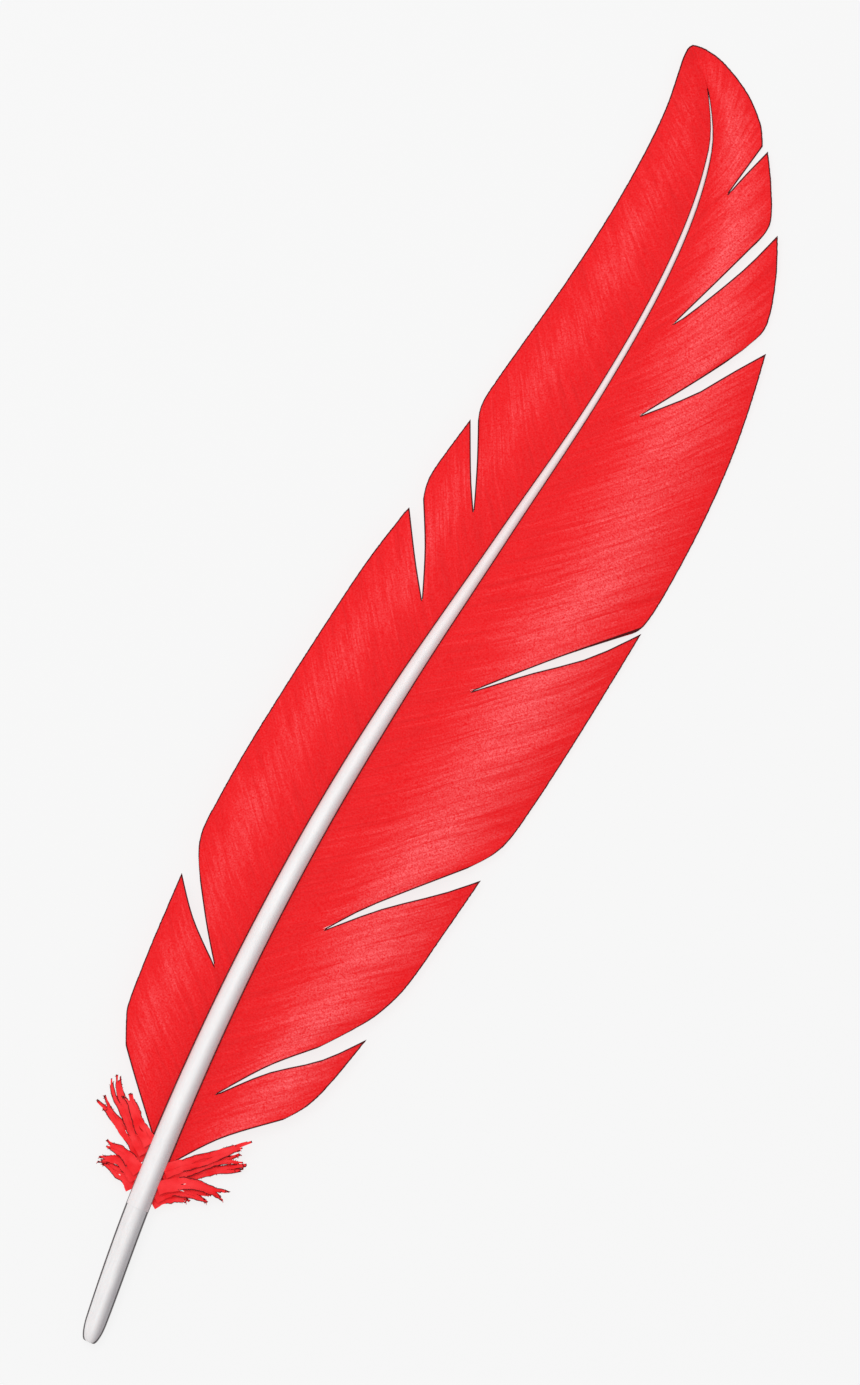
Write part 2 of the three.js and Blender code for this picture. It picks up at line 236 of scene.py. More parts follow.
# How thick the shaft still is: (percent of the feather's length, share). It hardly thins as far as the
# middle, then quickly, and last of all slowly to its fine tip.
taper_at = through([
    (0, 1),
    (12, 0.985),
    (20, 0.935),
    (30, 0.85),
    (42, 0.765),
    (47, 0.71),
    (57, 0.505),
    (66, 0.33),
    (72, 0.225),
    (78, 0.165),
    (88, 0.12),
    (94, 0.05),
    (97.7, 0),
    (100, 0),
])

QUILL_WAIST = 0.2  # how much slimmer the quill is at its butt
QUILL_WAIST_LENGTH = 8 * MM
SHAFT_DEPTH = 1.12  # depth of the shaft over its width, where it carries the vane
GROOVE_DEPTH = 0.35  # groove along the underside, over the shaft's radius
GROOVE_HALF_WIDTH = 0.5  # over the shaft's radius
SPIKE_LENGTH = 14 * MM  # the shaft's tip narrows to nothing over this
LEAST_RADIUS = 0.0001 * MM


class ShaftLine:
    """The shaft's middle line, radius and height, at distances along the feather.

    Places are relative to the butt, until place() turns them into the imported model's."""

    def __init__(self, shape):
        self.length = shape.length
        self.quill_length = shape.quill_length
        self.diameter = shape.shaft_diameter
        self.tip_diameter = shape.tip_diameter
        self.arch_rise = shape.arch_rise
        self.end = shape.length - shape.tip_past_shaft

    def sway(self, y):
        return sideways_at(100 * y / self.length) * MM

    def rise(self, y):
        share = y / self.length
        return self.arch_rise * np.sin(np.pi * share) + self.diameter / 2 * (1 - share)

    def radius(self, y):
        taper = taper_at(np.clip(100 * y / self.length, 0, 100))
        waist = 1 - QUILL_WAIST * np.exp(-y / QUILL_WAIST_LENGTH)
        radius = (self.tip_diameter + (self.diameter - self.tip_diameter) * taper * waist) / 2
        spike = np.clip((self.end - y) / SPIKE_LENGTH, 0, 1) ** 0.6
        return np.maximum(radius * spike, LEAST_RADIUS)

    def vane_share(self, y):
        """How far the section has changed from the round quill to the deep shaft, 0 to 1."""
        share = np.clip(y / self.quill_length - 1, 0, 1)
        return share * share * (3 - 2 * share)

    def along_vane(self, percent):
        return self.quill_length + (self.length - self.quill_length) * percent / 100

    def place(self, x, y, z):
        return np.stack([BUTT_X + x, BUTT_Y + y, BUTT_Z - self.diameter / 2 + z], -1)


# ---- Small tools ----

CREASE = math.radians(40)  # faces that meet at less than this are shaded as one smooth surface


def select_only(piece=None):
    bpy.ops.object.select_all(action="DESELECT")
    if piece:
        piece.select_set(True)
        bpy.context.view_layer.objects.active = piece


def extrude_rings(name, sides, rings):
    """A straight round piece along +Y: a circle, extruded to each next (distance, radius)."""
    select_only()
    bpy.ops.mesh.primitive_circle_add(vertices=sides, radius=rings[0][1], rotation=(math.pi / 2, 0, 0))
    piece = bpy.context.object
    piece.name = piece.data.name = name
    bpy.ops.object.transform_apply(location=True, rotation=True, scale=True)
    bpy.ops.object.mode_set(mode="EDIT")
    bpy.ops.mesh.select_all(action="SELECT")
    bpy.ops.transform.translate(value=(0, rings[0][0], 0))
    for (y, radius), (next_y, next_radius) in zip(rings, rings[1:]):
        bpy.ops.mesh.extrude_region_move(TRANSFORM_OT_translate={"value": (0, next_y - y, 0)})
        grow = next_radius / radius
        bpy.ops.transform.resize(value=(grow, 1, grow), center_override=(0, next_y, 0))
    return piece


def close_piece(piece):
    """Joins rings that meet, fills the open ends and turns the faces outwards."""
    bpy.ops.mesh.select_all(action="SELECT")
    bpy.ops.mesh.remove_doubles(threshold=0.001 * MM)
    bpy.ops.mesh.fill_holes(sides=0)
    bpy.ops.mesh.normals_make_consistent(inside=False)
    bpy.ops.object.mode_set(mode="OBJECT")
    return piece


def coordinates(piece):
    co = np.empty(len(piece.data.vertices) * 3)
    piece.data.vertices.foreach_get("co", co)
    return co.reshape(-1, 3)


def take_shape(piece):
    """The vertices and faces of a modelled shape that will be copied. The shape itself goes."""
    shape = coordinates(piece), [list(face.vertices) for face in piece.data.polygons]
    bpy.data.objects.remove(piece)
    return shape


def piece_of_copies(name, parts):
    """One piece of many laid copies.

    Each part has a shape's faces, the places of every copy's vertices, and their kept values."""
    faces, first = [], 0
    for shape_faces, places, values in parts:
        copies, vertices = places.shape[:2]
        starts = first + vertices * np.arange(copies)
        faces += [[int(start) + i for i in face] for start in starts for face in shape_faces]
        first += copies * vertices
    mesh = bpy.data.meshes.new(name)
    mesh.from_pydata(np.vstack([places.reshape(-1, 3) for _, places, _ in parts]).tolist(), [], faces)
    piece = bpy.data.objects.new(name, mesh)
    bpy.context.scene.collection.objects.link(piece)
    for kept in parts[0][2]:
        keep_values(piece, kept, np.vstack([values[kept].reshape(-1, 3) for _, _, values in parts]))
    return piece


def keep_values(piece, name, values):
    """Stores three numbers for each vertex, which a material reads by name."""
    attribute = piece.data.attributes.new(name, "FLOAT_VECTOR", "POINT")
    attribute.data.foreach_set("vector", values.astype(np.float32).ravel())


def finish_piece(piece, node, material):
    """Gives a piece its finish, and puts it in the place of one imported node."""
    select_only(piece)
    bpy.ops.object.shade_smooth_by_angle(angle=CREASE)
    piece.data.materials.clear()
    piece.data.materials.append(material)
    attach(piece, "root")
    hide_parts(node)


def unit(vectors):
    return vectors / np.maximum(np.linalg.norm(vectors, axis=-1, keepdims=True), 1e-12)


def lengths_of(lines):
    """The length of each of many lines, as a column."""
    return np.linalg.norm(np.diff(lines, axis=1), axis=-1).sum(1)[:, None]


def chance(rng, copies):
    """A column with a chance number from -1 to 1 for each copy."""
    return (rng.random((copies, 1)) - 0.5) * 2


# ---- Materials ----


def add_node(tree, kind, *values, out=0, stops=(), **settings):
    """Adds a shader node with its settings and links, and returns one of its outputs.

    Values go to its inputs in order, and a dict's values to the inputs that it names. A value is a
    number, a colour or another node's output. Stops are a ramp's (place, grey)."""
    node = tree.nodes.new("ShaderNode" + kind)
    for name, value in settings.items():
        setattr(node, name, value)
    named = values[0] if values and isinstance(values[0], dict) else dict(enumerate(values))
    for key, value in named.items():
        if isinstance(value, bpy.types.NodeSocket):
            tree.links.new(value, node.inputs[key])
        else:
            node.inputs[key].default_value = value
    for i, (place, grey) in enumerate(stops):
        elements = node.color_ramp.elements
        element = elements[i] if i < len(elements) else elements.new(place)
        element.position = place
        element.color = (grey, grey, grey, 1)
    return node.outputs[out] if node.outputs else None


def new_material(name):
    """An empty node material, and the function that adds nodes to it."""
    material = bpy.data.materials.new(name)
    material.use_nodes = True
    material.node_tree.nodes.clear()
    return material, functools.partial(add_node, material.node_tree)


def rgba(rgb):
    return (*rgb, 1.0)


def grain(add, scale, stretch=(1, 1, 1), detail=2.0):
    """Noise on the piece's own place, with its grain pulled out along chosen axes."""
    pulled = add("Mapping", {"Vector": add("TexCoord", out="Object"), "Scale": stretch})
    return add("TexNoise", {"Vector": pulled, "Scale": scale, "Detail": detail})


def vane_noise(add, station, share, per_mm, per_barb, roughness=0.5):
    """Noise in the vane's own terms: so many waves to a mm of shaft, and so many along a barb."""
    across_barbs = add("Math", station, per_mm, operation="MULTIPLY")
    along_barb = add("Math", share, per_barb, operation="MULTIPLY")
    place = add("CombineXYZ", across_barbs, along_barb)
    return add("TexNoise", {"Vector": place, "Scale": 1.0, "Detail": 2.0, "Roughness": roughness})


def kept_values(add, name):
    """The three numbers that each vertex keeps under a name."""
    kept = add("Attribute", out="Vector", attribute_name=name)
    return add("SeparateXYZ", kept).node.outputs


def edge_shade_share(add, distance, width):
    """The share of a thin dark line of painted edge shade along the free edges. The distance to them
    and the width are in mm.
    """
    return add(
        "Math", distance, -1 / EDGE_SHADE_SOFTNESS, width / EDGE_SHADE_SOFTNESS + 0.5, operation="MULTIPLY_ADD"
    )


def coated(add, ground, coats):
    """Lays coats over a ground colour, one after another. Each is a share and a colour."""
    surface = rgba(ground)
    for share, rgb in coats:
        surface = add("Mix", {0: share, 6: surface, 7: rgba(rgb)}, out=2, data_type="RGBA")
    return surface


EDGE_SHADE_WIDTH = 0.28  # mm
EDGE_SHADE_SOFTNESS = 0.12  # mm
RIB_SPACING = 0.3  # mm; real barbules are ten times closer, and wouldn't show
DEEP_TIP = 22  # mm of shaft, over which the vane gets as deep as it is at the tip
DEEP_TIP_END = 298  # mm from the butt, where that stretch ends
KERATIN_IOR = 1.54
# Painted light over the middle of the barbs, by the share of a barb's length from the shaft.
PAINTED_LIGHT_MIDDLE = (
    (0.0, 0.1), (0.16, 0.08), (0.34, 0.36), (0.55, 0.84), (0.66, 0.8), (0.8, 0.44), (1.0, 0.08),
)


def dyed_barbs(colours, name, painted_light_strength):
    """Feather keratin, dyed: dull, fibrous, streaked along its barbs.

    The middle of the barbs is painted lighter, as painted light on the vane's hump; beside the shaft
    and at the margin the red stays deep, as painted shade.
    The eye gets long soft streaks that follow the barbs, and a fine pale grain over them."""
    material, add = new_material(name)
    share, station, across = kept_values(add, "barb")
    from_edge, along_barb, luck = kept_values(add, "trim")
    middle = add("ValToRGB", share, stops=PAINTED_LIGHT_MIDDLE)
    # The painted light gives out over the last barbs before the tip, which stay deep.
    before_tip = add(
        "Math", station, -1 / DEEP_TIP, DEEP_TIP_END / DEEP_TIP,
        operation="MULTIPLY_ADD", use_clamp=True,
    )
    middle = add("Math", middle, before_tip, operation="MULTIPLY")
    # Broad patches are 20 mm of shaft wide, and reach along the whole barb. Streaks are a few barbs
    # wide, so about 1.2 mm, and a third of a barb long. Fine ones are single barbs.
    patches = vane_noise(add, station, share, 0.05, 1.0)
    streaks = vane_noise(add, station, share, 0.8, 1.8, 0.6)
    fine_streaks = vane_noise(add, station, share, 2.4, 6.0, 0.6)
    streak = add("Math", fine_streaks, 0.4, operation="MULTIPLY")
    streak = add("Math", streaks, 0.6, streak, operation="MULTIPLY_ADD")
    # Tufts of barbules catch the light. They are 0.03 mm apart, and are drawn ten times coarser.
    tufts = grain(add, 1 / (0.34 * MM))
    patchy = add("Math", patches, painted_light_strength, 0.2 * painted_light_strength, operation="MULTIPLY_ADD")
    streaky = add("Math", streak, 3.0, -0.5, operation="MULTIPLY_ADD")
    tone = add("Math", middle, patchy, operation="MULTIPLY")
    tone = add("Math", tone, streaky, operation="MULTIPLY")
    # Where there is no painted light, streaks and single barbs still differ a little, about a middle.
    tone = add("Math", streak, 0.55, tone, operation="MULTIPLY_ADD")
    tone = add("Math", luck, 0.08, tone, operation="MULTIPLY_ADD")
    tone = add("Math", tone, 0.315, operation="SUBTRACT")
    least = add("Math", tone, 0.1, operation="MAXIMUM")
    lit = add("Math", tufts, 4.0, -1.0, operation="MULTIPLY_ADD")
    painted_light = add("Math", least, lit, operation="MULTIPLY")
    # Darker streaks by chance, and painted shade where the painted light is least, beside the shaft and
    # at the margins.
    dark_streaks_and_shade = add("Math", tone, -1.6, 0.14, operation="MULTIPLY_ADD")
    # Painted edge shade: a thin dark line along the margins and splits, and a painted contact shadow
    # beside the shaft.
    line = edge_shade_share(add, from_edge, EDGE_SHADE_WIDTH)
    coats = [(painted_light, colours.bright), (dark_streaks_and_shade, colours.dark_streaks_and_shade), (line, colours.outline)]
    # Barbules branch off both sides of a barb at a slant, which gives the blade its fine ribs.
    slant = add("Math", across, operation="ABSOLUTE")
    slant = add("Math", slant, 0.35, along_barb, operation="MULTIPLY_ADD")
    ribs = add("Math", slant, 2 * math.pi / RIB_SPACING, operation="MULTIPLY")
    ribs = add("Math", ribs, operation="SINE")
    shader = add("BsdfPrincipled", {
        "Base Color": coated(add, colours.deep, coats),
        "Roughness": add("Math", streak, 0.2, 0.52, operation="MULTIPLY_ADD"),
        "Normal": add("Bump", {"Strength": 0.35, "Distance": 0.02 * MM, "Height": ribs}),
        "IOR": KERATIN_IOR,
        "Specular IOR Level": 0.06,
    })
    add("OutputMaterial", shader)
    return material


def dyed_down(colours):
    """Dyed down: the same keratin in threads, so it is duller and has no grain of its own."""
    material, add = new_material("dyed_feather_down")
    from_free_edge, _, _ = kept_values(add, "trim")
    # Patches of fainter dye are 3 mm wide.
    patches = add("Math", grain(add, 1 / (3 * MM)), 1.2, -0.2, operation="MULTIPLY_ADD")
    # Painted edge shade: a thin dark line along the free edges of the down.
    line = edge_shade_share(add, from_free_edge, 0.6 * EDGE_SHADE_WIDTH)
    coats = [(patches, colours.down), (line, colours.outline)]
    shader = add("BsdfPrincipled", {
        "Base Color": coated(add, colours.deep, coats),
        "Roughness": 0.85,
        "IOR": KERATIN_IOR,
        "Specular IOR Level": 0.12,
    })
    add("OutputMaterial", shader)
    return material


# Along the feather, in mm from the butt over this length, the painted shade on the right flank fades.
FLANK_SHADE_LENGTH = 300
FLANK_SHADE_FADES = ((0.0, 1.0), (0.05, 1.0), (0.18, 0.68), (0.47, 0.48), (0.62, 0.28), (0.75, 0.0))
# Across the shaft, from its middle to its right side, the painted shade on the flank gets darker, and
# eases a little at the very edge as painted reflected light.
FLANK_SHADE_ACROSS = ((0.0, 0.0), (0.2, 0.22), (0.42, 0.62), (0.62, 0.95), (0.8, 1.0), (1.0, 0.75))
DYE_ACROSS = ((0.0, 0.03), (0.5, 0.1), (0.8, 0.22), (1.0, 0.5))  # from the middle to both sides
UNDER_SHADE_BLEND = 0.14  # height over the radius in which the painted shade on the horn's underside blends in


def horn(colours, name, shade_share, dye_share, edge_shade_height):
    """Feather horn: pale, smooth and slightly see-through, with faint lengthwise scratches.

    The vanes' dye has crept a little way up its sides where the barbs leave it. A thin dark line along
    each side is painted edge shade, and its height is a share of the radius over the middle. Its right
    flank and its underside are darker with painted shade."""
    material, add = new_material(name)
    across, along_shaft, up = kept_values(add, "shaft")
    # Fibres run lengthwise, 0.5 mm apart: far coarser than real ones, so that they show. Clouds of
    # greyer horn are 6 mm wide.
    fibres = grain(add, 1 / (0.5 * MM), stretch=(1, 0.08, 1), detail=3.0)
    clouds = grain(add, 1 / (6 * MM), stretch=(1, 0.5, 1))
    shade = add("Math", clouds, 0.6, -0.3, operation="MULTIPLY_ADD")
    shade = add("Math", fibres, 0.5, shade, operation="MULTIPLY_ADD")
    shade = add("Math", shade, shade_share, operation="MULTIPLY")
    # Painted shade: its right flank is greyer, as the light falls from the left.
    along = add("Math", along_shaft, FLANK_SHADE_LENGTH, operation="DIVIDE")
    flank_shade = add("ValToRGB", across, stops=FLANK_SHADE_ACROSS)
    flank_shade = add("Math", flank_shade, add("ValToRGB", along, stops=FLANK_SHADE_FADES), operation="MULTIPLY")
    sides = add("ValToRGB", add("Math", across, operation="ABSOLUTE"), stops=DYE_ACROSS)
    seeped = add("Math", clouds, dye_share - 0.5, operation="ADD")
    seeped = add("Math", sides, seeped, operation="MULTIPLY")
    # Towards its tip the shaft is so slim that all of it has taken up some dye.
    slim = add("Math", along, 0.9, -0.35, operation="MULTIPLY_ADD")
    slim = add("Math", slim, 0.24, operation="MINIMUM")
    seeped = add("Math", seeped, slim, operation="MAXIMUM")
    # Painted shade: the underside of the horn is darker.
    under_shade = add("Math", up, -1 / UNDER_SHADE_BLEND, 0.5 * edge_shade_height / UNDER_SHADE_BLEND, operation="MULTIPLY_ADD")
    # Painted edge shade: a thin dark line along each side, where the horn turns under.
    edge_shade_stops = [(k * edge_shade_height, grey) for k, grey in ((0.3, 0), (0.45, 1), (0.85, 1), (1, 0))]
    coats = [
        (shade, colours.horn_shade),
        (flank_shade, colours.horn_flank_shade),
        (seeped, colours.horn_tint),
        (under_shade, colours.horn_under_shade),
        (add("ValToRGB", up, stops=edge_shade_stops), colours.horn_edge_shade),
    ]
    shader = add("BsdfPrincipled", {
        "Base Color": coated(add, colours.horn, coats),
        "Roughness": add("Math", fibres, 0.2, 0.34, operation="MULTIPLY_ADD"),
        "Normal": add("Bump", {"Strength": 0.25, "Distance": 0.02 * MM, "Height": fibres}),
        "IOR": 1.55,
        "Specular IOR Level": 0.2,
        "Subsurface Weight": 0.15,
        "Subsurface Radius": (1.0, 0.8, 0.75),
        "Subsurface Scale": 0.6 * MM,
    })
    add("OutputMaterial", shader)
    return material


def dry_tissue(name, rgb, cell):
    """Dry, dull tissue inside the quill and the shaft: cells that show as a fine pitted grain."""
    material, add = new_material(name)
    place = add("TexCoord", out="Object")
    cells = add("TexVoronoi", {"Vector": place, "Scale": 1 / cell}, out="Distance")
    darker = tuple(0.7 * c for c in rgb)
    shader = add("BsdfPrincipled", {
        "Base Color": coated(add, rgb, [(cells, darker)]),
        "Normal": add("Bump", {"Strength": 0.5, "Distance": 0.1 * MM, "Height": cells}),
        "Roughness": 0.9,
    })
    add("OutputMaterial", shader)
    return material


def light_table(colours, glow):
    """Opal acrylic, lit from below: even and pale, so that what lies on it throws a faint shadow."""
    material, add = new_material("opal_acrylic")
    shader = add("BsdfPrincipled", {
        "Base Color": rgba(tuple((1 - glow) * c for c in colours.floor)),
        "Emission Color": rgba(colours.floor),
        "Emission Strength": glow,
        "Roughness": 0.95,
        "Specular IOR Level": 0.05,
    })
    add("OutputMaterial", shader)
    return material


# ---- Quill and shaft ----

BUTT_FACE_RADIUS = 1.1 * MM
BUTT_ROUNDING = 4.5 * MM  # length of the rounded end
BUTT_THICKNESS = 1.6 * MM
UMBILICUS_RADIUS = 0.5 * MM
QUILL_RINGS = 14
SHAFT_SIDES = 40
SHAFT_RINGS = 90
RING_CROWDING = 0.8  # under 1 puts the rings closer together towards the tip
PITH_LEAST_RADIUS = 0.35 * MM
PITH_CLEARANCE = 0.2 * MM


def lay_along_shaft(piece, line):
    """Bends a straight piece, lying along +Y, onto the shaft's line.

    Each vertex keeps, as "shaft", its place across over the radius, its mm from the butt, and its
    height over the radius."""
    x, y, z = coordinates(piece).T
    radius = line.radius(y)
    across = x / radius
    change = line.vane_share(y)
    groove = np.clip(1 - (across / GROOVE_HALF_WIDTH) ** 2, 0, None) * GROOVE_DEPTH * change
    height = z * (1 + (SHAFT_DEPTH - 1) * change) + groove * np.clip(-z, 0, None)
    places = line.place(x + line.sway(y), y, height + line.rise(y))
    piece.data.vertices.foreach_set("co", places.ravel())
    keep_values(piece, "shaft", np.stack([across, y / MM, z / radius], -1))
    piece.data.update()


def make_quill(line, detail, material):
    """The bare quill: a tube with a rounded end, and the small hole in it that fed the feather."""
    face = [(0, UMBILICUS_RADIUS), (0, BUTT_FACE_RADIUS)]
    rounding = []
    for turn in np.radians(np.arange(10, 90, 10)):  # a ring at every 10 degrees of the rounding
        y = (1 - math.cos(turn)) * BUTT_ROUNDING
        rounding.append((y, BUTT_FACE_RADIUS + (line.radius(y) - BUTT_FACE_RADIUS) * math.sin(turn)))
    stations = np.linspace(BUTT_ROUNDING, line.quill_length, QUILL_RINGS)
    outside = [(y, line.radius(y)) for y in stations]
    inside = [(y, line.radius(y) - detail.quill_wall) for y in stations[::-1]]
    hole = [(BUTT_THICKNESS, UMBILICUS_RADIUS), (0, UMBILICUS_RADIUS)]
    piece = close_piece(extrude_rings("quill", SHAFT_SIDES, face + rounding + outside + inside + hole))
    lay_along_shaft(piece, line)
    finish_piece(piece, "calamus", material)


def make_shaft(line, detail, material):
    """The shaft: horn round a hollow for the pith, from the quill to its fine tip."""
    shares = np.linspace(0, 1, SHAFT_RINGS) ** RING_CROWDING
    stations = line.quill_length + (line.end - line.quill_length) * shares
    least = PITH_LEAST_RADIUS + PITH_CLEARANCE + detail.shaft_wall
    hollow = [y for y in stations if line.radius(y) > least]
    end_of_hollow = [(hollow[-1] + 2 * PITH_CLEARANCE, LEAST_RADIUS)]
    inside = [(y, line.radius(y) - detail.shaft_wall) for y in reversed(hollow)]
    outside = [(y, line.radius(y)) for y in stations]
    rings = end_of_hollow + inside + outside
    piece = close_piece(extrude_rings("shaft", SHAFT_SIDES, rings))
    lay_along_shaft(piece, line)
    finish_piece(piece, "rachis_cortex", material)


# ---- The vanes ----

# A place on a side is (percent of the way from the bare quill to the tip, percent of that side's
# reach from the shaft's middle). Splits cut each side into groups, and are listed from the quill
# to the tip. A split has the root of the barb beside it, the inner end where it opens, the lower
# group's edge out to its sharp corner, and the upper group's edge out to its rounded heel.
# A wisp of down has its root, in percent of the way from the bare quill to the tip, and its width as a
# share. Its tip and the point that bends it are (mm out from the shaft, mm on towards the feather's
# tip), both from its root.
RIGHT_SIDE = {
    "word": "right",
    "sign": 1,
    "base": {"root": 3.8, "upper": [(7.5, 28.5), (10.9, 57)]},
    "splits": [
        {"root": 9.3, "inner": (10.6, 17), "lower": [(13.7, 38), (16.4, 63), (19.3, 81)],
         "upper": [(14.2, 37), (17.1, 58)]},
        {"root": 22.4, "inner": (25.7, 32), "lower": [(28.9, 54), (32.1, 81), (34.2, 96)],
         "upper": [(28.9, 49), (34.6, 86)]},
        {"root": 43.7, "inner": (47.2, 35), "lower": [(50.2, 56), (53.4, 80), (56.8, 97)],
         "upper": [(52, 63), (56, 88)]},
        {"root": 68, "inner": (72.1, 27), "lower": [(75.4, 47), (77.9, 58), (80.6, 71)],
         "upper": [(75.8, 42), (78.6, 53)]},
        {"root": 76, "inner": (79.7, 17), "lower": [(81.2, 23), (85.8, 39), (89.3, 50)],
         "upper": [(84, 28), (87.4, 38)]},
        {"root": 86.9, "inner": (90.6, 16), "lower": [(92.3, 22), (94.9, 35)],
         "upper": [(91.7, 19), (95.1, 32)]},
    ],
    "margins": [
        [(12.8, 67), (15.4, 74)],
        [(19.8, 73), (21.6, 81), (24.4, 88), (29.7, 93)],
        [(37.2, 97), (41.2, 100), (48.6, 100)],
        [(57.7, 96), (64.1, 93), (70.6, 86), (75.6, 79)],
        [(80.6, 60), (82.7, 64), (86.2, 58)],
        [(89.8, 44), (92.6, 39)],
        [(96.7, 32), (98.4, 27.5), (99.7, 19), (100.1, 9)],
    ],
    "down": [
        {"root": 0.7, "tip": (7.2, 3.4), "bend": (3.4, 5), "width": 0.9},
        {"root": 1.3, "tip": (11.2, 3.8), "bend": (4.6, 5.6), "width": 0.9},
        {"root": 2, "tip": (14, 4.4), "bend": (6.5, 5.7), "width": 0.8},
        {"root": 2.5, "tip": (15.1, 10.6), "bend": (6.8, 5), "width": 0.8},
        {"root": 3, "tip": (13.4, 11), "bend": (6.3, 5.3), "width": 0.9},
        {"root": 3.4, "tip": (14.7, 13.3), "bend": (4.6, 4.6), "width": 0.9},
    ],
}
LEFT_SIDE = {
    "word": "left",
    "sign": -1,
    "base": {"root": 5.4, "upper": [(9.2, 53.5), (11, 73)]},
    "splits": [
        {"root": 18, "inner": (19.6, 27), "lower": [(22.2, 66), (25, 97)],
         "upper": [(22.2, 52), (25, 77)]},
        {"root": 49.8, "inner": (52, 32), "lower": [(54.6, 60), (58.1, 95)],
         "upper": [(55.7, 59), (59.1, 88)]},
        {"root": 56.7, "inner": (59.9, 39), "lower": [(62.3, 61), (66.3, 94)],
         "upper": [(63.3, 63), (66.3, 86)]},
    ],
    "margins": [
        [(12.8, 83), (14.2, 88), (18.6, 92)],
        [(28, 97), (31.8, 100), (38.6, 100), (51.1, 100), (56.8, 97)],
        [(60.4, 94), (62, 96)],
        [(67.7, 93), (70.1, 94), (80, 84), (87.6, 72), (94, 54), (98.9, 18)],
    ],
    "down": [
        {"root": 1.1, "tip": (7.9, 1.8), "bend": (3.4, 3), "width": 0.8},
        {"root": 1.9, "tip": (9.4, 1), "bend": (4.2, 3.1), "width": 0.8},
        {"root": 2.6, "tip": (8.9, 2.5), "bend": (4.5, 2.4), "width": 0.9},
        {"root": 3.4, "tip": (13.8, 8.5), "bend": (5.6, 4.1), "width": 0.9},
        {"root": 4.2, "tip": (13.4, 11.8), "bend": (8, 5.4), "width": 1.2},
        {"root": 4.9, "tip": (9.4, 7.6), "bend": (4.5, 3.2), "width": 0.9},
    ],
}
VANE_TIP = (100, 0)
ROOT_IN_SHAFT = 0.1 * MM  # how far a barb's root sinks into the horn


def spline(points, steps=24):
    """A fine line through points, bending evenly at each."""
    points = np.array(points)
    padded = np.vstack([points[:1], points, points[-1:]])
    k = np.linspace(0, 1, steps, endpoint=False)[:, None]
    stretches = []
    for before, start, end, after in zip(padded, padded[1:], padded[2:], padded[3:]):
        leave = (end - before) / 2
        arrive = (after - start) / 2
        square = -3 * start + 3 * end - 2 * leave - arrive
        cube = 2 * start - 2 * end + leave + arrive
        stretches.append(cube * k**3 + square * k**2 + leave * k + start)
    return np.vstack([*stretches, points[-1:]])


def lengths_along(line):
    return np.concatenate([[0], np.cumsum(np.linalg.norm(np.diff(line, axis=0), axis=1))])


def along(line, shares):
    """Places on a fine line, at shares of its length."""
    lengths = lengths_along(line)
    return np.stack([np.interp(shares * lengths[-1], lengths, column) for column in line.T], -1)


